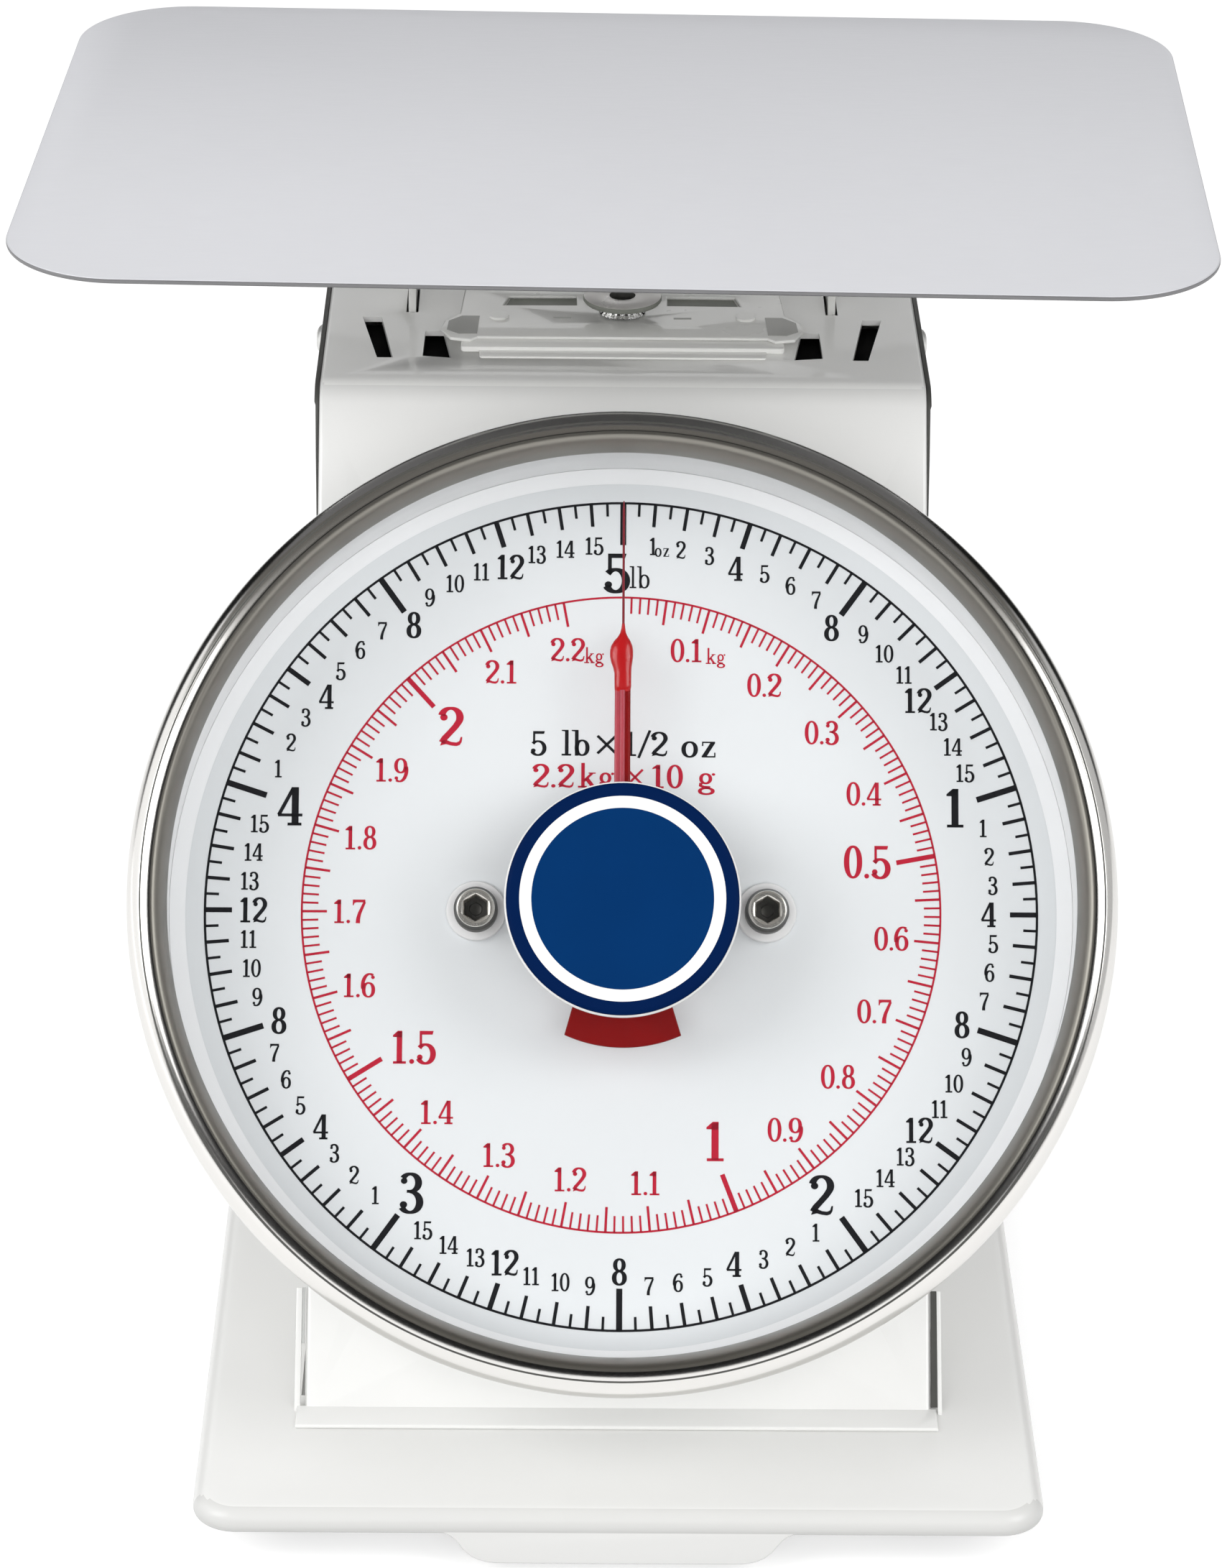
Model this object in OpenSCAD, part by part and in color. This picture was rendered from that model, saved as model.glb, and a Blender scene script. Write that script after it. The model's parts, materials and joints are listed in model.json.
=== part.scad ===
// Mechanical dial platform scale, 5 lb, spring and rack movement.
// Frame: Z up from the table, X to the right, the dial faces -Y.

/* [Dial] */
// Outside diameter of the stainless bezel
bezel_d = 200; // [196:1:202]
// Tilt of the dial back from upright, degrees
dial_tilt = 34.8; // [34.5:0.1:35.1]
// Height of the dial centre above the table
dial_h = 107; // [106.8:0.1:107.4]
// Depth of the dial centre, from the middle of the footprint
dial_y = -59.5; // [-60:0.1:-59]

/* [Platform] */
// Width of the weighing platform
plat_w = 248.4; // [240:0.2:252]
// Depth of the weighing platform
plat_d = 174.2; // [168:0.2:176]
// Corner radius of the platform
plat_r = 25; // [15:1:45]
// Thickness of the platform sheet
plat_t = 1.2; // [1:0.1:1.5]
// Height of the platform's top above the dial centre
plat_z = 127; // [126.5:0.1:128]
// Turn of the platform on its seat, degrees
plat_yaw = -1.6; // [-2:0.1:2]
// Sideways play of the platform on its seat
plat_dx = -1.1; // [-1.5:0.1:1.5]
// Travel of the platform at full load
travel = 12.383; // [12.37:0.001:12.39]

/* [Housing] */
// Width of the column
col_w = 129.6; // [129:0.1:130]
// Sheet thickness of the column
sheet = 1.2; // [1:0.1:1.2]
// Height of the column's top above the dial centre
col_top = 85.2; // [85:0.1:85.4]
// Back of the column, behind the dial centre
col_back = 154; // [153:0.5:156]
// Distance of the column's face behind the dial plate
face_off = 15; // [15:0.1:15.2]

/* [Base] */
// Width of the base
base_w = 172; // [171:0.5:173]
// Front edge of the base, ahead of the dial centre
base_front = 82.3; // [82:0.1:83]
// Back edge of the base, behind the dial centre
base_back = 172; // [168:1:176]
// Top of the base below the dial centre
base_top = 92.9; // [92.8:0.1:93]
// Height of the rolled edge of the base
base_edge = 4.6; // [4.2:0.1:5]
// Corner radius of the base
base_r = 9; // [7:0.5:12]

/* [Movement] */
// Pitch radius of the pinion
pin_r = 2.4; // [2.4:0.1:2.4]
// Number of pinion teeth
pin_n = 12; // [12:1:12]
// Length of the parallel links
link_l = 60; // [60:1:60]
// Turns of wire in each main spring
coils = 13; // [8:1:14]

/* [Hidden] */
$fn = 64;
e = 0.01;
ca = cos(dial_tilt);
sa = sin(dial_tilt);
hw = col_w / 2;
link_rise = travel / 2;
link_run = sqrt(link_l * link_l - link_rise * link_rise);
piv_y = 66;
up_z = 15;
lo_z = -62;
car_y = piv_y + link_run;
spr_x = 38;
spr_y = 115;
damp_y = 112;
spr_top = 64;
spr_bot = -7;
shaft_h = -30;

// y of the column's face at height z, at a depth h behind the dial plane
function face_y(z, h) = (h + z * sa) / ca;
// point on the rack plane
function slope(s, h) = [s * sa - h * ca, s * ca + h * sa];

module place() translate([0, dial_y, dial_h]) children();
module tilted() place() rotate([90 - dial_tilt, 0, 0]) children();
module ring(ro, ri, h) difference() { cylinder(r = ro, h = h); translate([0, 0, -1]) cylinder(r = ri, h = h + 2); }
module rrect(w, d, r) { // rounded rectangle from exact circles
  union() { square([w - 2 * r, d], center = true); square([w, d - 2 * r], center = true);
    for (i = [-1, 1], j = [-1, 1]) translate([i * (w / 2 - r), j * (d / 2 - r)]) circle(r = r); }
}
// column outline in the Y-Z plane, with a round bend between the face and the top
function bend_arc(inset, r) = [for (i = [0 : 10])
  let (zc = col_top - inset, yc = face_y(zc, face_off + inset) + r * tan((90 - dial_tilt) / 2), a = 180 - dial_tilt - i * (90 - dial_tilt) / 10)
  [yc + r * cos(a), zc - r + r * sin(a)]];
module outline(inset, r, back, low) polygon(concat([[face_y(low, face_off + inset), low]], bend_arc(inset, r), [[back, col_top - inset], [back, low]]));
module slab_x(w) rotate([90, 0, 90]) translate([0, 0, -w / 2]) linear_extrude(w) children();
module hexsocket_screw(r, head_r, head_h, len) {
  difference() { cylinder(r = head_r, h = head_h); translate([0, 0, head_h * 0.45]) cylinder(r = head_r * 0.52, h = head_h, $fn = 6); }
  translate([0, 0, -len]) cylinder(r = r, h = len + e);
}
module pan_screw(r, head_r, head_h, len) { // slotted round head
  difference() { union() { cylinder(r = head_r, h = head_h * 0.55); translate([0, 0, head_h * 0.55 - e]) cylinder(r = head_r * 0.8, h = head_h * 0.45 + e); }
    translate([-head_r, -0.4, head_h * 0.5]) cube([2 * head_r, 0.8, head_h]); }
  translate([0, 0, -len]) cylinder(r = r, h = len + e);
}
// tube swept along a helix
function helix_pts(R, r, turns, h, n, m) = [for (i = [0 : turns * n], j = [0 : m - 1])
  let (a = i * 360 / n, b = j * 360 / m) [(R + r * cos(b)) * cos(a), (R + r * cos(b)) * sin(a), h * i / (turns * n) + r * sin(b)]];
function tube_faces(k, m) = concat([[for (j = [0 : m - 1]) j]], [[for (j = [m - 1 : -1 : 0]) (k - 1) * m + j]],
  [for (i = [0 : k - 2], j = [0 : m - 1]) [i * m + j, (i + 1) * m + j, (i + 1) * m + (j + 1) % m]],
  [for (i = [0 : k - 2], j = [0 : m - 1]) [i * m + j, (i + 1) * m + (j + 1) % m, i * m + (j + 1) % m]]);

// ---------------------------------------------------------------- base
module base_pan() color([0.93, 0.93, 0.91]) place() difference() {
  union() {
    translate([0, (base_back - base_front) / 2, -base_top - base_edge]) {
      difference() {
        union() {
          translate([0, 0, base_edge - 3 - e]) linear_extrude(3 + e) rrect(base_w - 6, base_back + base_front - 6, base_r - 3);
          translate([0, 0, base_edge - 3 - e]) linear_extrude(1.6) rrect(base_w - 1.2, base_back + base_front - 1.2, base_r - 0.6);
          translate([0, 0, base_edge - 2]) linear_extrude(1.1) rrect(base_w - 2.8, base_back + base_front - 2.8, base_r - 1.4);
          linear_extrude(base_edge - 3) rrect(base_w, base_back + base_front, base_r);
        }
        translate([0, 0, -1]) linear_extrude(base_edge - 2.2) rrect(base_w - 2.6, base_back + base_front - 2.6, base_r - 1.3);
        translate([0, 0, 0.5]) linear_extrude(base_edge - 1.8) rrect(base_w - 9, base_back + base_front - 9, base_r - 4);
      }
    }
    // apron that hangs from the middle of the front edge
    translate([0, -base_front + 1.4, -base_top - base_edge]) rotate([90, 0, 0]) linear_extrude(1.4)
      polygon([[-35.5, 1], [-33, -1.6], [-31, -5.2], [-25, -7.4], [25, -7.4], [31, -5.2], [33, -1.6], [35.5, 1]]);
  }
  // narrow slots beside the column's side panels
  for (i = [-1, 1]) translate([i > 0 ? hw + 0.02 : -hw - 1.0, -40, -base_top - 5]) cube([i > 0 ? 1.9 : 0.98, 178, 10]);
  for (i = [-1, 1], y = [-56, 146]) translate([i * 66, y, -base_top - 9]) cylinder(r = 2.1, h = 12);
  // holes for the frame bolts and the damper stud
  for (x = [-34, 34], y = [50, 134]) translate([x, y, -base_top - 4]) cylinder(r = 1.6, h = 6);
  translate([0, damp_y, -base_top - 4]) cylinder(r = 2.1, h = 6);
}
module rubber_feet() color([0.16, 0.16, 0.17]) place() for (i = [-1, 1], y = [-56, 146]) translate([i * 66, y, -dial_h]) difference() {
  cylinder(r1 = 9, r2 = 10.5, h = dial_h - base_top - 1.3);
  translate([0, 0, -1]) cylinder(r = 5, h = 5);
  translate([0, 0, 3]) cylinder(r = 2.1, h = 20);
}
module foot_screws() color([0.75, 0.76, 0.78]) place() for (i = [-1, 1], y = [-56, 146]) translate([i * 66, y, -dial_h + 4])
  rotate([180, 0, 0]) { pan_screw(2.05, 4, 2, dial_h - base_top - 4 - 1.0); }

// ---------------------------------------------------------------- column
module front_housing() color([0.95, 0.94, 0.91]) difference() {
  place() difference() {
    slab_x(col_w) outline(0, 8, col_back, -base_top);
    slab_x(col_w - 2 * sheet) outline(sheet, 8 - sheet, col_back + 5, -base_top - 3);
    // the side returns are narrow, and the side panels close the rest
    slab_x(col_w + 2) polygon([[face_y(-base_top - 2, face_off + 14), -base_top - 2], [face_y(col_top - 14, face_off + 14), col_top - 14],
      [col_back + 2, col_top - 14], [col_back + 2, -base_top - 2]]);
    slab_x(col_w + 2) translate([col_back - sheet - 0.05, -base_top - 2]) square([10, base_top + 2 + col_top - sheet]);
  }
  // dial shaft, dial screws and movement pillars
  tilted() translate([0, 0, -face_off - 4]) {
    cylinder(r = 9, h = 8);
    for (i = [-1, 1]) translate([i * 30, 0, 0]) cylinder(r = 3.1, h = 8);
    for (i = [-1, 1], j = [-1, 1]) translate([i * 18, j * 18, 0]) cylinder(r = 1.6, h = 8);
    for (i = [-1, 1]) translate([0, i * 70, 0]) cylinder(r = 1.6, h = 8);
  }
  place() {
    for (i = [-1, 1]) translate([0, 0, col_top - 5]) linear_extrude(10) {
      // square openings, slanted louvres and the passages for the bridge legs
      polygon([[i * 37.0, 93], [i * 43.2, 94], [i * 43.0, 108.5], [i * 39.0, 108.5]]);
      polygon([[i * 49.6, 93], [i * 53, 93], [i * 57, 116.5], [i * 52.8, 116.5]]);
      translate([i * 46.2 - 1.35, 119.4]) square([2.7, 16.2]);
    }
    // well for the zero screw, and rivet holes of the bridge
    translate([0, spr_y, col_top - 5]) cylinder(r = 8, h = 10);
    for (i = [-1, 1]) translate([i * 27, 112, col_top - 5]) cylinder(r = 1.55, h = 10);
    rotate([0, 90, 0]) translate([-80, 116, -80]) cylinder(r = 1.55, h = 160);
  }
}
module side_sheet(x) difference() {
  translate([x, 0, 0]) rotate([90, 0, 90]) linear_extrude(sheet) polygon([[face_y(-base_top, face_off + 3), -base_top + 0.05], [face_y(col_top - 16, face_off + 3), col_top - 16],
    [face_y(col_top - 16, face_off + 3) + 12, col_top - 3], [col_back - sheet - 0.1, col_top - 3], [col_back - sheet - 0.1, -base_top + 0.05]]);
  rotate([0, 90, 0]) translate([-80, 116, -80]) cylinder(r = 1.55, h = 160);
}
module left_side_panel() color([0.92, 0.91, 0.88]) place() side_sheet(-hw + sheet + 0.05);
module right_side_panel() color([0.92, 0.91, 0.88]) place() side_sheet(hw - 2 * sheet - 0.05);
module rear_cover() color([0.93, 0.92, 0.89]) place() difference() {
  translate([-hw + 0.1, col_back - sheet, -base_top + 0.05]) cube([col_w - 0.2, sheet, base_top + col_top - sheet - 0.1]);
  for (i = [-1, 1], z = [-80, 70]) translate([i * 54, col_back - 3, z]) rotate([-90, 0, 0]) cylinder(r = 1.55, h = 6);
  for (i = [-4 : 4]) translate([i * 9 - 1.5, col_back - 3, 20]) cube([3, 6, 26]);
}
module rear_cover_screws() color([0.75, 0.76, 0.78]) place() for (i = [-1, 1], z = [-80, 70]) translate([i * 54, col_back, z]) rotate([-90, 0, 0]) pan_screw(1.5, 3.2, 2, 6);
module side_screws() color([0.75, 0.76, 0.78]) place() for (i = [-1, 1]) translate([i * hw, 116, 80]) rotate([0, i * 90, 0]) pan_screw(1.5, 3.4, 2.4, 5);

// ---------------------------------------------------------------- dial
module dial_pan() color([0.94, 0.94, 0.93]) tilted() difference() {
  translate([0, 0, -face_off]) rotate_extrude($fn = 96) polygon([[8, 0], [93, 0], [94.6, 1.6], [94.6, face_off + 16], [97.2, face_off + 18.6], [97.2, face_off + 20],
    [96.2, face_off + 20], [96.2, face_off + 19.2], [93.4, face_off + 16.4], [93.4, 2.2], [92.6, 1.2], [8, 1.2]]);
  for (i = [-1, 1]) translate([i * 30, 0, -face_off - 1]) cylinder(r = 3.1, h = 4);
  for (i = [-1, 1]) translate([0, i * 70, -face_off - 1]) cylinder(r = 1.6, h = 4);
}
module dial_posts() color([0.75, 0.76, 0.78]) tilted() {
  for (i = [-1, 1]) translate([i * 30, 0, -face_off + 1.2]) ring(6, 3.1, face_off - 2.0);
  for (i = [-1, 1]) translate([0, i * 70, -face_off + 1.2]) { cylinder(r = 4, h = face_off - 2.0); translate([0, 0, -3]) cylinder(r = 1.55, h = 3.1); }
}
module dial_plate() color([0.95, 0.96, 0.97]) tilted() difference() {
  translate([0, 0, -0.8]) cylinder(r = 93, h = 0.8, $fn = 96);
  translate([0, 0, -2]) cylinder(r = 6, h = 4);
  for (i = [-1, 1]) translate([i * 30, 0, -2]) cylinder(r = 3.1, h = 4);
}
module dial_washers() color([0.9, 0.9, 0.88]) tilted() for (i = [-1, 1]) translate([i * 30, 0, 0]) ring(6.2, 3.1, 1.6);
module dial_screws() color([0.6, 0.58, 0.55]) tilted() for (i = [-1, 1]) translate([i * 30, 0, 1.6]) hexsocket_screw(3, 5.1, 6, 20);
module bezel_ring() color([0.8, 0.8, 0.8]) tilted() rotate_extrude($fn = 96)
  polygon([[95.0, 10], [96.2, 9.6], [97.4, 10.4], [97.7, 12], [97.7, 20.6], [99.0, 22.0], [99.8, 24.0], [100, 26.2], [99.5, 28.4], [98.2, 30.2], [96.6, 31.2], [95.0, 31.2],
    [93.6, 30.2], [92.6, 28.2], [92.0, 25.6], [91.8, 23.3], [92.6, 23.3], [93.2, 26.0], [94.2, 28.6], [95.2, 29.9], [96.4, 30.0], [97.6, 29.2], [98.5, 27.8], [98.9, 26.2], [98.7, 24.4], [98.0, 22.9],
    [97.3, 22.2], [97.25, 20.05], [97.25, 18.5], [96.6, 17.8], [96.4, 16], [95.9, 12.4], [95.0, 12.4]]);
module lens_gasket() color([0.85, 0.85, 0.84]) tilted() translate([0, 0, 20.1]) ring(96.6, 92.6, 0.8);
module lens() color([0.85, 0.9, 0.92, 0.3]) tilted() translate([0, 0, 20.9]) ring(96.6, 4.5, 2.0);
module knob_body() color([0.94, 0.94, 0.93]) tilted() difference() {
  union() { translate([0, 0, 23.0]) rotate_extrude() polygon([[0, 0], [24.0, 0], [24.3, 0.4], [24.3, 1.2], [23.9, 1.6], [0, 1.6]]);
    translate([0, 0, 18.4]) cylinder(r = 4.45, h = 5); }
  translate([0, 0, 17]) cylinder(r = 1.6, h = 5);
}
module knob_cap() color([0.0, 0.24, 0.5]) tilted() translate([0, 0, 24.6]) rotate_extrude() polygon([[0, 0], [23.4, 0], [23.6, 0.3], [23.5, 0.7], [22.9, 1.0], [0, 1.0]]);
module knob_retainer() color([0.75, 0.76, 0.78]) tilted() difference() {
  union() { translate([0, 0, 18.3]) cylinder(r = 1.55, h = 3.6); translate([0, 0, 17.4]) cylinder(r = 7, h = 0.95); }
  translate([-3, -0.4, 17.0]) cube([6, 0.8, 0.8]);
}

// ---------------------------------------------------------------- movement
module mplate(h) translate([0, 0, h]) difference() {
  translate([-22, -22, 0]) cube([44, 44, 1.6]);
  translate([0, 0, -1]) cylinder(r = 2.6, h = 4);
  for (i = [-1, 1], j = [-1, 1]) translate([i * 18, j * 18, -1]) cylinder(r = 1.6, h = 4);
}
module movement_front_plate() color([0.78, 0.66, 0.38]) tilted() mplate(shaft_h + 7);
module movement_rear_plate() color([0.78, 0.66, 0.38]) tilted() mplate(shaft_h - 8.6);
module movement_pillars() color([0.75, 0.76, 0.78]) tilted() for (i = [-1, 1], j = [-1, 1]) translate([i * 18, j * 18, 0]) {
  translate([0, 0, -face_off - sheet - (-(shaft_h + 8.6) - face_off - sheet)]) cylinder(r = 3, h = -(shaft_h + 8.6) - face_off - sheet);
  translate([0, 0, shaft_h - 7]) cylinder(r = 3, h = 14);
  translate([0, 0, shaft_h - 10.6]) cylinder(r = 1.55, h = -(shaft_h - 10.6) - face_off - 0.1);
}
module shaft_bushes() color([0.8, 0.68, 0.3]) tilted() for (h = [shaft_h + 6.6, shaft_h - 9]) translate([0, 0, h]) ring(2.6, 1.3, 2.4);
module tooth2d(a) polygon([[pin_r - 0.52, -0.42], [pin_r, -0.28], [pin_r + 0.36, -0.1], [pin_r + 0.36, 0.1], [pin_r, 0.28], [pin_r - 0.52, 0.42]]);
module pinion() color([0.8, 0.68, 0.3]) tilted() translate([0, 0, shaft_h - 3]) linear_extrude(6) difference() {
  union() { circle(r = pin_r - 0.5); for (i = [0 : pin_n - 1]) rotate(360 / pin_n * (i + 0.5)) tooth2d(); }
  circle(r = 1.25);
}
module pinion_shaft() color([0.75, 0.76, 0.78]) tilted() translate([0, 0, shaft_h - 10]) cylinder(r = 1.25, h = 10 - shaft_h + 13);
// rack, teeth face the pinion from the right, with a level slot for the carriage pin
module rack() color([0.8, 0.68, 0.3]) difference() {
  pt = 2 * PI * pin_r / pin_n;
  p = slope(66, shaft_h);
  union() {
    tilted() translate([0, 0, shaft_h - 2]) linear_extrude(4) {
      translate([pin_r + 0.55, -5.5]) square([3.4, 68]);
      for (k = [-4 : 17]) translate([pin_r, k * pt]) polygon([[0.56, -0.42], [0, -0.26], [-0.34, -0.1], [-0.34, 0.1], [0, 0.26], [0.56, 0.42]]);
    }
    place() translate([pin_r + 0.55, p[0] - 3, p[1] - 4]) cube([3.4, 16, 8]);
  }
  place() translate([0, p[0], p[1]]) {
    for (y = [0, 9]) translate([0, y, 0]) rotate([0, 90, 0]) cylinder(r = 1.3, h = 12);
    translate([0, 0, -1.3]) cube([12, 9, 2.6]);
  }
}
module pointer() color([0.8, 0.05, 0.1]) tilted() {
  translate([0, 0, 11]) linear_extrude(0.8) difference() { union() {
    polygon([[-0.35, 56], [-0.22, 83.6], [0, 84.6], [0.22, 83.6], [0.35, 56]]);
    hull() { translate([0, 51]) circle(r = 2.45, $fn = 32); translate([0, 57]) circle(r = 0.5, $fn = 16); translate([0, 43.5]) circle(r = 1.5, $fn = 24); }
    polygon([[-1.75, 0], [-1.75, 44], [1.75, 44], [1.75, 0]]);
    intersection() { circle(r = 28.6); polygon([[0, 4], [-13.6, -28], [-12, -32], [12, -32], [13.6, -28]]); }
    circle(r = 5); }
    circle(r = 1.25);
  }
  translate([-0.5, 4.3, 11.7]) cube([1.0, 39, 0.5]);
}
module pointer_hub() color([0.8, 0.68, 0.3]) tilted() { translate([0, 0, 7.5]) ring(3.2, 1.25, 3.5); translate([0, 0, 11.8]) ring(4, 1.25, 1.1); }

// ---------------------------------------------------------------- frame
module inner_frame() color([0.7, 0.72, 0.74]) place() difference() {
  union() {
    translate([-40, 44, -base_top + 0.05]) cube([80, 96, 1.5]);
    for (i = [-1, 1]) translate([i * 28.75 - 0.75, 58, -base_top + 0.05]) cube([1.5, 16, base_top + up_z + 6]);
    translate([-29.5, 58, -base_top + 0.05]) cube([59, 1.5, base_top - 5]);
  }
  for (z = [up_z, lo_z]) rotate([0, 90, 0]) translate([-z, piv_y, -40]) cylinder(r = 1.5, h = 80);
  for (x = [-34, 34], y = [50, 134]) translate([x, y, -base_top - 1]) cylinder(r = 1.6, h = 6);
  translate([0, damp_y, -base_top - 1]) cylinder(r = 2.1, h = 6);
}
module frame_bolts() color([0.75, 0.76, 0.78]) place() for (x = [-34, 34], y = [50, 134]) translate([x, y, -base_top + 1.55]) pan_screw(1.55, 3.2, 2, 3.6);
module link_pivot_pins() color([0.75, 0.76, 0.78]) place() for (z = [up_z, lo_z]) translate([-31.5, piv_y, z]) rotate([0, 90, 0]) { cylinder(r = 1.5, h = 63); translate([0, 0, -0.8]) cylinder(r = 2.6, h = 1); translate([0, 0, 62.8]) cylinder(r = 2.6, h = 1); }
module damper_cylinder() color([0.8, 0.8, 0.8]) place() translate([0, damp_y, -base_top + 1.55]) { difference() { cylinder(r = 9, h = 44); translate([0, 0, 2]) cylinder(r = 8, h = 44); } translate([0, 0, -2.5]) cylinder(r = 2.05, h = 3); }
module damper_cap() color([0.25, 0.25, 0.26]) place() translate([0, damp_y, -base_top + 45.55]) ring(9.4, 1.9, 2.5);
module damper_piston() color([0.75, 0.76, 0.78]) place() { translate([0, damp_y, -72]) cylinder(r = 1.5, h = 72 - 10); translate([0, damp_y, -74]) cylinder(r = 7.7, h = 3); }
module bridge_deck() polygon([[-33, 98.6], [-31.4, 100.4], [31.4, 100.4], [33, 98.6], [37.4, 99.6], [39.6, 104.6], [38.8, 109.4], [35.6, 113.6], [34.8, 128],
  [-34.8, 128], [-35.6, 113.6], [-38.8, 109.4], [-39.6, 104.6], [-37.4, 99.6]]);
module top_bridge() color([0.94, 0.93, 0.90]) place() difference() {
  union() {
    translate([-34.6, 94.2, col_top]) cube([69.2, 33.8, 1.35]);
    translate([-30.6, 91, col_top]) cube([61.2, 4, 0.5]);
    translate([0, 0, col_top + 1.3]) linear_extrude(0.8) bridge_deck();
  }
  // pressed slots beside the zero screw
  for (i = [-1, 1]) translate([0, 0, col_top + 1.35]) linear_extrude(2) polygon([[i * 26.2, 118.9], [i * 10, 119.1], [i * 10, 124.7], [i * 25, 124.5]]);
  translate([0, spr_y, col_top - 1]) cylinder(r = 3.55, h = 6);
  for (i = [-1, 1]) translate([i * 27, 112, col_top - 1]) cylinder(r = 1.55, h = 6);
}
module bridge_rivets() color([0.9, 0.9, 0.88]) place() for (i = [-1, 1]) translate([i * 27, 112, col_top - 2.0]) { cylinder(r = 1.5, h = 4.2); translate([0, 0, 4.1]) cylinder(r = 2.2, h = 0.5); translate([0, 0, 0]) cylinder(r = 2.6, h = 0.8); }
module zero_screw() color([0.86, 0.86, 0.86]) place() translate([0, spr_y, 0]) {
  translate([0, 0, col_top + 2.4]) difference() {
    union() { cylinder(r1 = 3.7, r2 = 5.0, h = 2.4); translate([0, 0, 2.3]) cylinder(r1 = 8.3, r2 = 8.6, h = 0.6); translate([0, 0, 2.85]) cylinder(r = 8.6, h = 0.8); }
    translate([0, 0, 2.0]) cylinder(r = 2.65, h = 3);
  }
  translate([0, 0, 59]) cylinder(r = 2.5, h = col_top + 3 - 59);
  translate([0, 0, col_top - 0.5]) cylinder(r = 3.45, h = 3);
}
module zero_screw_collar() color([0.75, 0.76, 0.78]) place() translate([0, spr_y, col_top - 3.0]) ring(5.5, 2.5, 2.0);
module spring_hanger() color([0.7, 0.72, 0.74]) place() difference() {
  translate([-43, spr_y - 6, spr_top]) cube([86, 12, 4]);
  translate([0, spr_y, spr_top - 1]) cylinder(r = 2.55, h = 8);
}

// ---------------------------------------------------------------- platform side
module platform() color([0.83, 0.83, 0.85]) place() translate([plat_dx, spr_y, plat_z - plat_t]) rotate(plat_yaw) linear_extrude(plat_t) rrect(plat_w, plat_d, plat_r);
module platform_bridge() color([0.93, 0.93, 0.90]) place() {
  difference() {
    translate([-60, spr_y - 22, plat_z - plat_t - 5]) cube([120, 44, 5 - 0.02]);
    translate([-58.8, spr_y - 20.8, plat_z - plat_t - 6]) cube([117.6, 41.6, 4.8]);
    for (i = [-1, 1], j = [-1, 1]) translate([i * 53, spr_y + j * 14, plat_z - 12]) cylinder(r = 2.05, h = 20);
  }
  for (i = [-1, 1]) translate([i * 46.2 - 0.8, 120, 46]) difference() { cube([1.6, 15, plat_z - plat_t - 47.2]); translate([-1, 7.5, 6]) rotate([0, 90, 0]) cylinder(r = 1.6, h = 4); }
}
module platform_studs() color([0.75, 0.76, 0.78]) place() for (i = [-1, 1], j = [-1, 1]) translate([i * 53, spr_y + j * 14, plat_z - plat_t - 4]) { cylinder(r = 2, h = 4 - 0.02); translate([0, 0, -0.6]) cylinder(r = 3.6, h = 3.4, $fn = 6); }
module carriage_crossbar() color([0.7, 0.72, 0.74]) place() difference() {
  union() { translate([-45.3, 124.5, 48]) cube([90.6, 6, 8]); }
  for (i = [-1, 1]) translate([i * 47, 127.5, 52]) rotate([0, 90, 0]) cylinder(r = 1.5, h = 20, center = true);
}
module carriage() color([0.7, 0.72, 0.74]) place() difference() {
  p = slope(66, shaft_h);
  union() {
    translate([-14, 130.55, -68]) cube([28, 1.6, 124]);
    // ears for the links and the bar that holds the spring ends
    for (i = [-1, 1], z = [up_z, lo_z]) translate([i * 21.2 - 0.8 - (i > 0 ? 0 : 0), car_y - 4, z + link_rise - 4]) cube([1.6, 131 - car_y + 5.1, 8]);
    for (z = [up_z, lo_z]) translate([-22, 130.55, z + link_rise - 4]) cube([44, 1.6, 8]);
    translate([-43.5, spr_y - 5, -13]) cube([87, 17.2, 3]);
    // arm that carries the rack pin
    translate([7.8, p[0] - 3, p[1] - 4]) cube([2, 131 - p[0] + 4, 8]);
    translate([-14, 126, -13]) cube([28, 5, 3]);
    translate([-5, damp_y - 5, -13]) cube([10, 10, 3]);
  }
  for (z = [up_z, lo_z]) rotate([0, 90, 0]) translate([-z - link_rise, car_y, -40]) cylinder(r = 1.5, h = 80);
  for (i = [-1, 1]) translate([i * spr_x, spr_y, -20]) cylinder(r = 1.6, h = 20);
  translate([0, damp_y, -20]) cylinder(r = 1.5, h = 20);
  rotate([0, 90, 0]) translate([-p[1], p[0], 0]) cylinder(r = 1, h = 20);
}
module carriage_pins() color([0.75, 0.76, 0.78]) place() {
  p = slope(66, shaft_h);
  for (z = [up_z, lo_z]) translate([-27, car_y, z + link_rise]) rotate([0, 90, 0]) cylinder(r = 1.5, h = 54);
  translate([pin_r + 0.3, p[0], p[1]]) rotate([0, 90, 0]) cylinder(r = 1, h = 9.8 - pin_r - 0.3 + 1);
  for (i = [-1, 1]) translate([i * 43.5, 127.5, 52]) rotate([0, i * 90, 0]) { translate([0, 0, -4]) cylinder(r = 1.5, h = 7.5); translate([0, 0, 3.52]) cylinder(r = 2.8, h = 1.4); }
}
module spring_hooks() color([0.75, 0.76, 0.78]) place() for (i = [-1, 1]) translate([i * spr_x, spr_y, -15]) { cylinder(r = 1.55, h = 8); translate([0, 0, 5.02]) cylinder(r = 4, h = 2.9); translate([0, 0, -1]) cylinder(r = 3, h = 2, $fn = 6); }
module spring_coil(i) place() translate([i * spr_x, spr_y, spr_bot]) { R = 4.4; r = 0.8; n = 14; m = 6;
  translate([0, 0, r]) polyhedron(helix_pts(R, r, coils, spr_top - spr_bot - 2 * r, n, m), tube_faces(coils * n + 1, m), convexity = 8); }
module left_spring() color([0.7, 0.7, 0.72]) spring_coil(-1);
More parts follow.
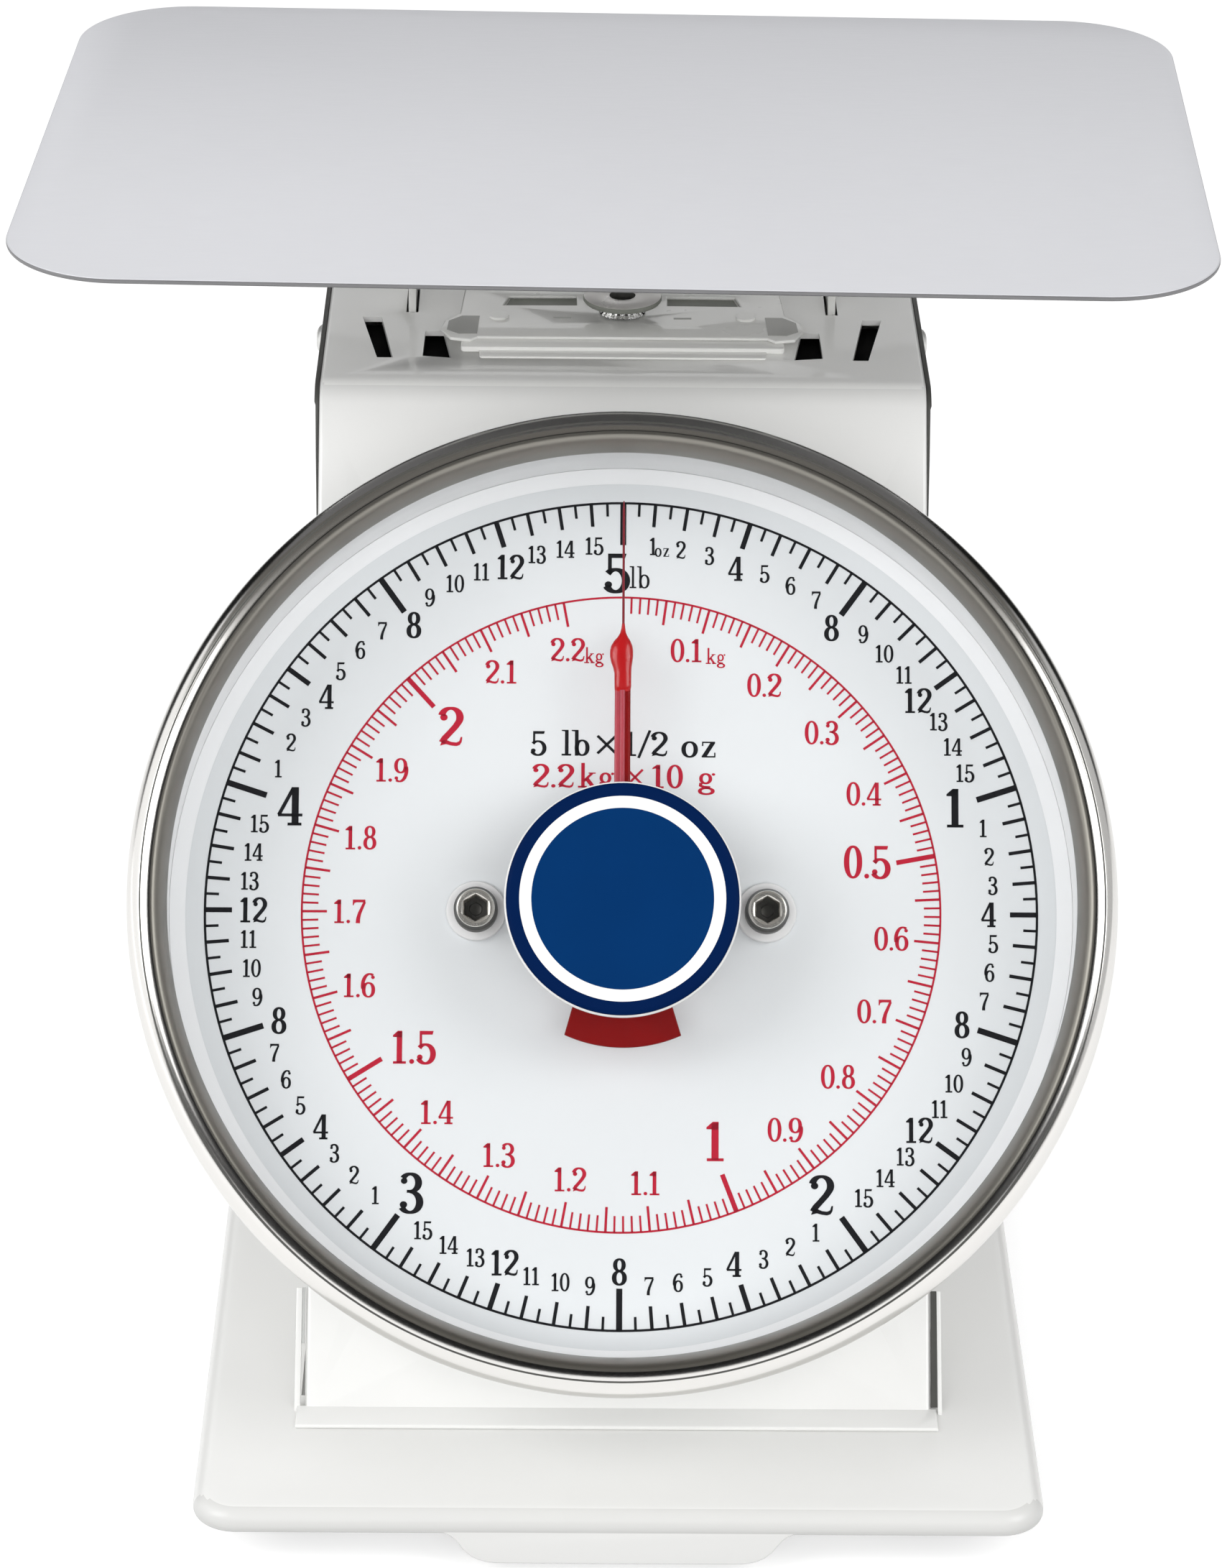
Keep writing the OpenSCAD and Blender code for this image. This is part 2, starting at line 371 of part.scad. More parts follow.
module right_spring() color([0.7, 0.7, 0.72]) spring_coil(1);
module link(z) place() translate([0, piv_y, z]) rotate([asin(link_rise / link_l), 0, 0]) difference() {
  union() {
    for (i = [-1, 1]) translate([i * 24.4 - 0.8, -4, -4]) cube([1.6, link_l + 8, 8]);
    translate([-25.2, 8, -4]) cube([50.4, 1.6, 8]);
  }
  rotate([0, 90, 0]) { translate([0, 0, -40]) cylinder(r = 1.56, h = 80); translate([0, link_l, -40]) cylinder(r = 2.2, h = 80); }
}
module upper_link() color([0.7, 0.72, 0.74]) link(up_z);
module lower_link() color([0.7, 0.72, 0.74]) link(lo_z);

base_pan();
rubber_feet();
foot_screws();
front_housing();
left_side_panel();
right_side_panel();
rear_cover();
rear_cover_screws();
side_screws();
dial_pan();
dial_posts();
dial_plate();
dial_washers();
dial_screws();
bezel_ring();
lens_gasket();
lens();
movement_front_plate();
movement_rear_plate();
movement_pillars();
shaft_bushes();
inner_frame();
frame_bolts();
link_pivot_pins();
damper_cylinder();
damper_cap();
top_bridge();
bridge_rivets();
platform();
platform_bridge();
platform_studs();
carriage();
carriage_crossbar();
spring_hooks();
carriage_pins();
damper_piston();
spring_hanger();
zero_screw();
zero_screw_collar();
left_spring();
right_spring();
rack();
pinion();
pinion_shaft();
pointer();
pointer_hub();
upper_link();
lower_link();
knob_body();
knob_cap();
knob_retainer();
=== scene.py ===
import json
import math
import random
import bpy
import bmesh
from mathutils import Matrix, Vector


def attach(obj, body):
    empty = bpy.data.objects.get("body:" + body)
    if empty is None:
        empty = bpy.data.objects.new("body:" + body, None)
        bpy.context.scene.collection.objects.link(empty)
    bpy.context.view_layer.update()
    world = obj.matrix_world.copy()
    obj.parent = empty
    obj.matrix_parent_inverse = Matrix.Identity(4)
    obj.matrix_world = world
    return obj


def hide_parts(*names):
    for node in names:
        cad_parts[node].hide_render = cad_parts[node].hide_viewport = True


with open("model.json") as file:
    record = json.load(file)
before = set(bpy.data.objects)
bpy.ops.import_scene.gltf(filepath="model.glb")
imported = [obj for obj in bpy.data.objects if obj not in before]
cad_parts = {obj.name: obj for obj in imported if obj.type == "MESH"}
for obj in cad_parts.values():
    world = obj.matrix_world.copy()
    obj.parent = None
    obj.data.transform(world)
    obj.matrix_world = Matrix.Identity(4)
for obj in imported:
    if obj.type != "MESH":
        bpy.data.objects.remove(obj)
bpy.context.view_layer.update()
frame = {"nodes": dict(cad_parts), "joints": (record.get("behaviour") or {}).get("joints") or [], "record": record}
NODES = frame["nodes"]
MM = 0.001
random.seed(7)

# ------------------------------------------------------------------ frames
_knob = [j for j in frame["joints"] if j["name"] == "knob_turn"][0]
O = Vector(_knob["pos_m"])
N = Vector(_knob["axis"]).normalized()
U = Vector((1, 0, 0))
V = N.cross(U).normalized()
DIAL = Matrix(((U.x, V.x, N.x, O.x), (U.y, V.y, N.y, O.y), (U.z, V.z, N.z, O.z), (0, 0, 0, 1)))
BODYF = Matrix.Translation(O)          # row frame moved to the dial centre, upright
TILT = math.atan2(-N.z, -N.y)          # not used for shading
SA, CA = N.z, -N.y                     # sine and cosine of the tilt


def face_y(z, h):
    return (h + z * SA) / CA


# ------------------------------------------------------------------ materials
def _nodes(name):
    m = bpy.data.materials.new(name)
    m.use_nodes = True
    nt = m.node_tree
    b = nt.nodes["Principled BSDF"]
    return m, nt, b


def _noise(nt, scale, detail=2.0, stretch=None, rough=0.5):
    tc = nt.nodes.new("ShaderNodeTexCoord")
    mp = nt.nodes.new("ShaderNodeMapping")
    nt.links.new(tc.outputs["Object"], mp.inputs["Vector"])
    if stretch:
        mp.inputs["Scale"].default_value = stretch
    n = nt.nodes.new("ShaderNodeTexNoise")
    n.inputs["Scale"].default_value = scale
    n.inputs["Detail"].default_value = detail
    n.inputs["Roughness"].default_value = rough
    nt.links.new(mp.outputs["Vector"], n.inputs["Vector"])
    return n


def _mixcol(nt, fac, a, b):
    mx = nt.nodes.new("ShaderNodeMix")
    mx.data_type = "RGBA"
    nt.links.new(fac, mx.inputs[0])
    mx.inputs[6].default_value = (*a, 1)
    mx.inputs[7].default_value = (*b, 1)
    return mx.outputs[2]


def _range(nt, src, lo, hi, f0=0.3, f1=0.7):
    r = nt.nodes.new("ShaderNodeMapRange")
    nt.links.new(src, r.inputs["Value"])
    r.inputs["From Min"].default_value = f0
    r.inputs["From Max"].default_value = f1
    r.inputs["To Min"].default_value = lo
    r.inputs["To Max"].default_value = hi
    return r.outputs["Result"]


def material(name, col, rough=0.4, metal=0.0, var=0.03, vscale=30, rvar=0.06, rscale=120, bump=0.0, bscale=900,
             stretch=None, coat=0.0, coat_rough=0.1, spec=0.5, alpha=None, detail=2.0, bdist=0.0001):
    m, nt, b = _nodes(name)
    n = _noise(nt, vscale, detail)
    dark = tuple(max(0.0, c * (1 - var)) for c in col)
    lite = tuple(min(1.0, c * (1 + var)) for c in col)
    nt.links.new(_mixcol(nt, _range(nt, n.outputs["Fac"], 0, 1), dark, lite), b.inputs["Base Color"])
    r = _noise(nt, rscale, 3.0, stretch)
    nt.links.new(_range(nt, r.outputs["Fac"], max(0.02, rough - rvar), min(1, rough + rvar)), b.inputs["Roughness"])
    b.inputs["Metallic"].default_value = metal
    b.inputs["Specular IOR Level"].default_value = spec
    b.inputs["Coat Weight"].default_value = coat
    b.inputs["Coat Roughness"].default_value = coat_rough
    if bump:
        bn = _noise(nt, bscale, 3.0, stretch)
        bp = nt.nodes.new("ShaderNodeBump")
        bp.inputs["Strength"].default_value = bump
        bp.inputs["Distance"].default_value = bdist
        nt.links.new(bn.outputs["Fac"], bp.inputs["Height"])
        nt.links.new(bp.outputs["Normal"], b.inputs["Normal"])
    if alpha is not None:
        b.inputs["Alpha"].default_value = alpha
    return m


M = {
    "white_enamel": material("white_enamel", (0.80, 0.80, 0.785), 0.34, var=0.004, vscale=9, rvar=0.03, rscale=40, coat=0.6, coat_rough=0.05),
    "base_enamel": material("base_enamel", (0.765, 0.765, 0.75), 0.36, var=0.004, vscale=9, rvar=0.03, rscale=40, coat=0.2, coat_rough=0.06),
    # next: the base enamel made darker for the front-facing skirt, painted shade
    "skirt_painted_shade": material("skirt_painted_shade", (0.635, 0.635, 0.622), 0.36, var=0.004, vscale=9, rvar=0.03, rscale=40, coat=0.15, coat_rough=0.06),
    # next: the bridge enamel is lighter than the housing enamel, painted light against the platform's shadow
    "bridge_enamel": material("bridge_enamel", (0.87, 0.87, 0.845), 0.30, var=0.01, vscale=60, rvar=0.03, coat=0.6, coat_rough=0.05),
    "platform_steel": material("platform_steel", (0.655, 0.66, 0.69), 0.42, metal=0.16, var=0.012, vscale=9, rvar=0.05, rscale=60,
                               stretch=(2.0, 26.0, 2.0), bump=0.05, bscale=70, bdist=0.00005),
    "polished_stainless": material("polished_stainless", (0.66, 0.65, 0.63), 0.20, metal=1.0, var=0.01, vscale=12, rvar=0.004, rscale=12),
    "clear_lens": material("clear_lens", (0.06, 0.065, 0.07), 0.03, var=0.01, rvar=0.01, alpha=0.03, spec=0.6),
    "dial_white": material("dial_white", (0.735, 0.76, 0.775), 0.5, var=0.008, vscale=25, bump=0.02, bscale=1500),
    "pan_white": material("pan_white", (0.86, 0.87, 0.875), 0.35, var=0.015, vscale=40, bump=0.03, bscale=800, coat=0.2),
    "pointer_red": material("pointer_red", (0.205, 0.0003, 0.0003), 0.4, var=0.05, vscale=200, coat=0.08, coat_rough=0.08, spec=0.1),
    "pointer_needle": material("pointer_needle", (0.20, 0.010, 0.020), 0.4, var=0.05, vscale=200, spec=0.2),
    # next: a pink copy of the pointer red, painted sheen on the shaft's raised rib
    "pointer_painted_sheen": material("pointer_painted_sheen", (0.40, 0.045, 0.065), 0.4, var=0.06, vscale=300, coat=0.3, spec=0.3),
    "ink_black": material("ink_black", (0.008, 0.008, 0.010), 0.6, var=0.10, vscale=400, spec=0.15),
    "ink_red": material("ink_red", (0.46, 0.012, 0.035), 0.6, var=0.05, vscale=400, spec=0.15),
    "knob_white": material("knob_white", (0.83, 0.83, 0.82), 0.25, var=0.01, vscale=60, coat=0.4, bump=0.02),
    "knob_blue": material("knob_blue", (0.0006, 0.028, 0.118), 0.5, var=0.03, vscale=90, spec=0.03),
    "gasket_white": material("gasket_white", (0.70, 0.705, 0.70), 0.6, var=0.03, vscale=200, bump=0.1),
    "black_rubber": material("black_rubber", (0.025, 0.025, 0.027), 0.75, var=0.2, vscale=300, bump=0.25, bscale=1400),
    "zinc_steel": material("zinc_steel", (0.58, 0.58, 0.57), 0.28, metal=1.0, var=0.06, vscale=300, rvar=0.1, bump=0.05),
    "socket_steel": material("socket_steel", (0.42, 0.40, 0.36), 0.26, metal=0.75, var=0.10, vscale=400, rvar=0.06),
    "frame_steel": material("frame_steel", (0.52, 0.53, 0.53), 0.38, metal=0.9, var=0.10, vscale=90, rvar=0.12, rscale=200, bump=0.08, bscale=300),
    "spring_steel": material("spring_steel", (0.35, 0.35, 0.36), 0.3, metal=1.0, var=0.08, vscale=200, bump=0.04),
    # next: a dark copy of the platform steel for its edge and underside, painted shade and painted dark reflection
    "platform_edge_shade": material("platform_edge_shade", (0.20, 0.20, 0.205), 0.45, metal=0.5, var=0.05, vscale=60),
    # next: a lighter copy of the housing enamel for faces that look up, painted light against the platform's shadow
    "top_painted_light": material("top_painted_light", (0.93, 0.93, 0.91), 0.34, var=0.004, vscale=9, rvar=0.03, rscale=40, coat=0.4, coat_rough=0.06),
    "opening_painted_shade": material("opening_painted_shade", (0.003, 0.003, 0.003), 0.8, var=0.05, vscale=60, spec=0.05),
    "knob_navy": material("knob_navy", (0.0004, 0.011, 0.062), 0.5, var=0.03, vscale=90, spec=0.03),
    # next: a brighter copy of the pointer red for the drop-shaped head, painted highlight
    "pointer_painted_highlight": material("pointer_painted_highlight", (0.44, 0.001, 0.003), 0.3, var=0.05, vscale=200, coat=0.5, coat_rough=0.08, spec=0.3),
    # next: a mid grey for the narrow left slit beside the face, painted shade
    "slit_shade_grey": material("slit_shade_grey", (0.50, 0.51, 0.50), 0.5, var=0.04, vscale=60),
    "patch_grey": material("patch_grey", (0.42, 0.42, 0.40), 0.45, var=0.10, vscale=90, coat=0.3),
    # next: a grey for the floors of the deck slots and the zero knob's rim, painted shade
    "recess_shade_grey": material("recess_shade_grey", (0.24, 0.25, 0.22), 0.5, var=0.12, vscale=90),
    # next: a lighter white for the ring over the dial's border, painted light
    "rim_painted_light": material("rim_painted_light", (0.90, 0.91, 0.92), 0.4, var=0.01, vscale=60),
    # next: a darker copy of the stainless for the bezel's inner lip, painted shade and painted dark reflection
    "bezel_inner_shade": material("bezel_inner_shade", (0.23, 0.22, 0.196), 0.36, metal=0.9, var=0.02, vscale=60, rvar=0.01, rscale=80),
    # next two: dark and bright copies of the screw steel, painted shade and painted highlight
    "screw_painted_shade": material("screw_painted_shade", (0.05, 0.048, 0.042), 0.35, metal=0.5, var=0.08, vscale=300),
    "screw_painted_highlight": material("screw_painted_highlight", (0.76, 0.74, 0.69), 0.24, metal=0.8, var=0.04, vscale=300, rvar=0.03),
    # next: a near-black for the fold strips, the right slit, the bezel groove and the zero knob's recess, painted shade
    # and painted dark reflection
    "seam_dark": material("seam_dark", (0.06, 0.06, 0.055), 0.5, var=0.1, vscale=80),
    "satin_chrome": material("satin_chrome", (0.80, 0.78, 0.76), 0.30, metal=0.6, var=0.04, vscale=200, rvar=0.05),
    "side_zinc": material("side_zinc", (0.72, 0.72, 0.70), 0.32, metal=0.5, var=0.04, vscale=200),
    "brass": material("brass", (0.70, 0.50, 0.20), 0.28, metal=1.0, var=0.08, vscale=150, rvar=0.08, stretch=(1, 14, 1), bump=0.05),
    "chrome_screw": material("chrome_screw", (0.80, 0.80, 0.79), 0.10, metal=1.0, var=0.03, vscale=200, rvar=0.03, bump=0.02),
    "black_plastic": material("black_plastic", (0.03, 0.03, 0.03), 0.5, var=0.1, vscale=200, bump=0.1),
    "washer_white": material("washer_white", (0.80, 0.80, 0.80), 0.45, var=0.02, vscale=200, bump=0.05),
}
SLOT = {s["node"]: s["material_slot"] for s in frame["record"]["subparts"]}
for name, ob in NODES.items():
    ob.data.materials.clear()
    ob.data.materials.append(M["bridge_enamel" if name == "bridge_rivets" else SLOT[name]])


# ------------------------------------------------------------------ mesh helpers
def finish_mesh(name, bm, mats, xf=None, angle=30.0, smooth=True):
    me = bpy.data.meshes.new(name)
    bmesh.ops.recalc_face_normals(bm, faces=bm.faces)
    bm.to_mesh(me)
    bm.free()
    if xf is not None:
        me.transform(xf)
    for m in (mats if isinstance(mats, (list, tuple)) else [mats]):
        me.materials.append(M[m])
    if smooth:
        me.polygons.foreach_set("use_smooth", [True] * len(me.polygons))
        me.set_sharp_from_angle(angle=math.radians(angle))
    me.update()
    ob = bpy.data.objects.new(name, me)
    bpy.context.scene.collection.objects.link(ob)
    return ob


def put(ob, body, *nodes, slot=None):
    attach(ob, body)
    if nodes:
        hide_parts(*nodes)
    return ob


def bake(ob):
    """Applies the modifiers of a piece to its mesh."""
    dg = bpy.context.evaluated_depsgraph_get()
    dg.update()
    me = bpy.data.meshes.new_from_object(ob.evaluated_get(dg))
    old = ob.data
    ob.modifiers.clear()
    ob.data = me
    if old.users == 0:
        bpy.data.meshes.remove(old)
    return ob


def softened(node, width, seg=2, limit=32.0, mat=None, tidy=0.6):
    """A copy of a CAD node with its hard edges rounded."""
    src = NODES[node]
    bm = bmesh.new()
    bm.from_mesh(src.data)
    bmesh.ops.remove_doubles(bm, verts=bm.verts, dist=2e-6)
    bmesh.ops.dissolve_limit(bm, angle_limit=math.radians(tidy), verts=bm.verts[:], edges=bm.edges[:])
    ob = finish_mesh(node + "_skin", bm, mat or SLOT[node], angle=limit)
    b = ob.modifiers.new("round", "BEVEL")
    b.width = width * MM
    b.segments = seg
    b.limit_method = "ANGLE"
    b.angle_limit = math.radians(limit)
    b.use_clamp_overlap = True
    b.miter_outer = "MITER_ARC"
    bake(ob)
    me = ob.data
    me.polygons.foreach_set("use_smooth", [True] * len(me.polygons))
    me.set_sharp_from_angle(angle=math.radians(34))
    return ob


def lathe(name, profile, mats, n=128, xf=DIAL, mat_of=None, angle=34.0, arc=None):
    """Revolves a closed (r, h) profile in mm round the axis of xf. mat_of(r, h) gives a material number."""
    bm = bmesh.new()
    rings = []
    for r, h in profile:
        if r < 1e-6:
            rings.append([bm.verts.new((0, 0, h * MM))])
        else:
            rings.append([bm.verts.new((r * MM * math.cos(2 * math.pi * i / n), r * MM * math.sin(2 * math.pi * i / n), h * MM)) for i in range(n)])
    k = len(profile)
    for a in range(k):
        A, B = rings[a], rings[(a + 1) % k]
        if len(A) == 1 and len(B) == 1:
            continue
        mid = ((profile[a][0] + profile[(a + 1) % k][0]) / 2, (profile[a][1] + profile[(a + 1) % k][1]) / 2)
        for i in range(n):
            j = (i + 1) % n
            if len(A) == 1:
                f = bm.faces.new((A[0], B[j], B[i]))
            elif len(B) == 1:
                f = bm.faces.new((A[i], A[j], B[0]))
            else:
                f = bm.faces.new((A[i], A[j], B[j], B[i]))
            if mat_of:
                f.material_index = mat_of(*mid)
    return finish_mesh(name, bm, mats, xf, angle)


def smooth_profile(pts, it=2, closed=True):
    """Corner cutting, so that a lathe profile reads as rolled metal."""
    for _ in range(it):
        out = []
        k = len(pts)
        for i in range(k):
            a, b = pts[i], pts[(i + 1) % k]
            out += [(a[0] * 0.75 + b[0] * 0.25, a[1] * 0.75 + b[1] * 0.25), (a[0] * 0.25 + b[0] * 0.75, a[1] * 0.25 + b[1] * 0.75)]
        pts = out
    return pts


def slab(name, outline, z0, z1, mats, xf=BODYF, edge=0.3, seg=3, mat_index=None):
    """An outline in mm extruded from z0 to z1 with rounded rims."""
    n = len(outline)
    bm = bmesh.new()
    area = sum(outline[i][0] * outline[(i + 1) % n][1] - outline[(i + 1) % n][0] * outline[i][1] for i in range(n))
    if area < 0:
        outline = outline[::-1]
    nrm = []
    for i in range(n):
        p, q, s = Vector(outline[i - 1]), Vector(outline[i]), Vector(outline[(i + 1) % n])
        d1, d2 = (q - p).normalized(), (s - q).normalized()
        a, b = Vector((d1.y, -d1.x)), Vector((d2.y, -d2.x))
        m = (a + b)
        m = m / max(0.35, m.length_squared / 2) if m.length > 1e-6 else a
        nrm.append(m)
    levels = []
    for s in range(seg + 1):
        a = math.pi / 2 * s / seg
        levels.append((edge * (1 - math.sin(a)), z0 + edge * (1 - math.cos(a))))
    top = [(o, z0 + z1 - z) for o, z in levels[::-1]]
    rings = []
    for o, z in levels + top:
        rings.append([bm.verts.new(((outline[i][0] - nrm[i].x * o) * MM, (outline[i][1] - nrm[i].y * o) * MM, z * MM)) for i in range(n)])
    for A, B in zip(rings[:-1], rings[1:]):
        for i in range(n):
            j = (i + 1) % n
            bm.faces.new((A[i], A[j], B[j], B[i]))
    bm.faces.new(rings[0][::-1])
    bm.faces.new(rings[-1])
    return finish_mesh(name, bm, mats, xf, 40)


def rounded_rect(w, d, r, n=12, p=2.0, cx=0.0, cy=0.0):
    pts = []
    for k, (sx, sy) in enumerate(((1, 1), (-1, 1), (-1, -1), (1, -1))):
        for i in range(n + 1):
            a = math.pi / 2 * (k + i / n)
            c, s = math.cos(a), math.sin(a)
            pts.append((cx + sx * (w / 2 - r) + r * math.copysign(abs(c) ** (2 / p), c), cy + sy * (d / 2 - r) + r * math.copysign(abs(s) ** (2 / p), s)))
    return pts


# ------------------------------------------------------------------ dial printing
def arc_pts(cx, cy, rx, ry, a0, a1, n=18):
    return [(cx + rx * math.cos(math.radians(a0 + (a1 - a0) * i / n)), cy + ry * math.sin(math.radians(a0 + (a1 - a0) * i / n))) for i in range(n + 1)]


def ring_pts(cx, cy, orx, ory, irx, iry, n=28, p=2.15):
    o, q = [], []
    for i in range(n):
        a = 2 * math.pi * i / n
        c, s = math.cos(a), math.sin(a)
        o.append((cx + orx * math.copysign(abs(c) ** (2 / p), c), cy + ory * math.copysign(abs(s) ** (2 / p), s)))
        q.append((cx + irx * math.copysign(abs(c) ** (2 / p), c), cy + iry * math.copysign(abs(s) ** (2 / p), s)))
    return o, q


def pen(path, thick, thin, taper=(1, 1)):
    """A ribbon along a path: thick where it runs up and down, thin where it runs across."""
    L, R = [], []
    k = len(path)
    for i in range(k):
        a, b = path[max(0, i - 1)], path[min(k - 1, i + 1)]
        dx, dy = b[0] - a[0], b[1] - a[1]
        d = math.hypot(dx, dy) or 1
        w = (thin + (thick - thin) * (abs(dy) / d) ** 1.4) / 2
        t = i / (k - 1)
        w *= taper[0] + (taper[1] - taper[0]) * t
        nx, ny = -dy / d * w, dx / d * w
        L.append((path[i][0] + nx, path[i][1] + ny))
        R.append((path[i][0] - nx, path[i][1] - ny))
    return ("q", L, R)


def disc(cx, cy, r, n=14):
    return ("p", [(cx + r * math.cos(2 * math.pi * i / n), cy + r * math.sin(2 * math.pi * i / n)) for i in range(n)])


def box2(x0, y0, x1, y1):
    return ("p", [(x0, y0), (x1, y0), (x1, y1), (x0, y1)])


def glyph(ch, B=0.13, T=0.055):
    """(width, shapes) of one character, one unit tall, with slab serifs and ball ends."""
    g = []
    if ch == "0":
        o, q = ring_pts(0.30, 0.5, 0.28, 0.51, 0.28 - B, 0.51 - T)
        return 0.60, [("r", o, q)]
    if ch == "1":
        x = 0.24
        return 0.50, [box2(x - B / 2, 0.03, x + B / 2, 0.97), box2(x - 0.19, 0, x + 0.20, T),
                      ("p", [(x + B / 2, 1.0), (x - B / 2 + 0.03, 1.0), (x - 0.20, 0.86), (x - 0.20, 0.81), (x - B / 2, 0.84), (x + B / 2, 0.80)])]
    if ch == "2":
        p = arc_pts(0.285, 0.735, 0.215, 0.235, 168, -28, 20) + [(0.40, 0.50), (0.27, 0.34), (0.15, 0.20), (0.085, 0.08)]
        g = [pen(p, B * 1.05, T), disc(0.125, 0.735, 0.088)]
        g += [("p", [(0.04, 0.0), (0.09, 0.14), (0.18, 0.155), (0.30, 0.10), (0.42, 0.085), (0.49, 0.12), (0.52, 0.23), (0.56, 0.23), (0.545, 0.10), (0.50, 0.02), (0.42, -0.01),
                      (0.30, 0.005), (0.18, 0.04), (0.10, 0.02)])]
        return 0.60, g
    if ch == "3":
        g = [pen(arc_pts(0.27, 0.755, 0.195, 0.22, 150, -88, 20), B, T), pen(arc_pts(0.27, 0.265, 0.225, 0.26, 92, -150, 22), B * 1.05, T),
             disc(0.125, 0.80, 0.078), disc(0.115, 0.20, 0.088), box2(0.19, 0.50, 0.31, 0.50 + T)]
        return 0.58, g
    if ch == "4":
        g = [pen([(0.385, 0.98), (0.04, 0.275)], T * 1.2, T), box2(0.02, 0.235, 0.60, 0.235 + T), box2(0.345, 0.03, 0.345 + B, 0.99), box2(0.25, 0, 0.58, T)]
        return 0.62, g
    if ch == "5":
        g = [("p", [(0.11, 1.0), (0.11, 0.885), (0.50, 0.885), (0.53, 1.0)]), box2(0.11, 0.47, 0.11 + T, 0.9),
             pen(arc_pts(0.285, 0.30, 0.235, 0.285, 140, -152, 26), B * 1.05, T), disc(0.12, 0.20, 0.085)]
        return 0.60, g
    if ch in "69":
        o, q = ring_pts(0.30, 0.315, 0.27, 0.33, 0.27 - B, 0.33 - T)
        g = [("r", o, q), pen(arc_pts(0.345, 0.47, 0.285, 0.515, 62, 178, 20) + [(0.075, 0.36)], B, T), disc(0.475, 0.845, 0.075)]
        if ch == "9":
            g = [(s[0],) + tuple([(0.60 - x, 1.0 - y) for x, y in part] for part in s[1:]) for s in g]
        return 0.60, g
    if ch == "7":
        g = [("p", [(0.05, 1.0), (0.05, 0.76), (0.09, 0.76), (0.12, 0.86), (0.20, 0.885), (0.56, 0.885), (0.56, 1.0)]),
             pen([(0.535, 0.90), (0.43, 0.66), (0.33, 0.42), (0.275, 0.20), (0.265, 0.0)], B * 1.05, T, (0.7, 1.15))]
        return 0.60, g
    if ch == "8":
        o, q = ring_pts(0.295, 0.755, 0.225, 0.255, 0.225 - B * 0.92, 0.255 - T)
        o2, q2 = ring_pts(0.295, 0.275, 0.265, 0.285, 0.265 - B, 0.285 - T)
        return 0.59, [("r", o, q), ("r", o2, q2)]
    if ch == ".":
        return 0.20, [disc(0.095, 0.07, 0.075)]
    if ch == "/":
        return 0.42, [pen([(0.02, -0.08), (0.40, 1.06)], T * 1.25, T)]
    if ch == "x":
        return 0.66, [pen([(0.06, 0.20), (0.60, 0.80)], T * 1.2, T), pen([(0.06, 0.80), (0.60, 0.20)], T * 1.2, T)]
    if ch == "l":
        return 0.32, [box2(0.11, 0.02, 0.11 + B * 0.85, 1.06), box2(0.0, 0, 0.32, T), ("p", [(0.0, 1.06), (0.0, 1.01), (0.12, 0.99), (0.12, 1.06)])]
    if ch == "b":
        o, q = ring_pts(0.33, 0.325, 0.25, 0.34, 0.25 - B, 0.34 - T)
        return 0.60, [box2(0.09, 0.0, 0.09 + B * 0.85, 1.06), ("p", [(-0.02, 1.06), (-0.02, 1.01), (0.10, 0.99), (0.10, 1.06)]), ("r", o, q)]
    if ch == "o":
        o, q = ring_pts(0.29, 0.325, 0.26, 0.34, 0.26 - B, 0.34 - T)
        return 0.58, [("r", o, q)]
    if ch == "z":
        return 0.52, [box2(0.05, 0.59, 0.46, 0.65), box2(0.04, 0.0, 0.47, 0.06), pen([(0.40, 0.62), (0.11, 0.03)], B, T * 1.8), box2(0.05, 0.47, 0.09, 0.62), box2(0.43, 0.03, 0.47, 0.20)]
    if ch == "k":
        return 0.62, [box2(0.09, 0.0, 0.09 + B * 0.85, 1.06), box2(-0.02, 0, 0.28, T), pen([(0.18, 0.28), (0.46, 0.62)], T * 1.2, T), box2(0.34, 0.60, 0.58, 0.65),
                      pen([(0.27, 0.40), (0.50, 0.03)], B, B), box2(0.38, 0, 0.62, T)]
    if ch == "g":
        o, q = ring_pts(0.26, 0.42, 0.20, 0.235, 0.20 - B * 0.8, 0.235 - T)
        o2, q2 = ring_pts(0.28, -0.10, 0.26, 0.165, 0.26 - T * 1.5, 0.165 - T)
        return 0.56, [("r", o, q), ("r", o2, q2), pen([(0.12, 0.24), (0.10, 0.13), (0.20, 0.07), (0.40, 0.05)], B * 0.8, T * 1.4), disc(0.50, 0.60, 0.055)]
    return 0.4, []


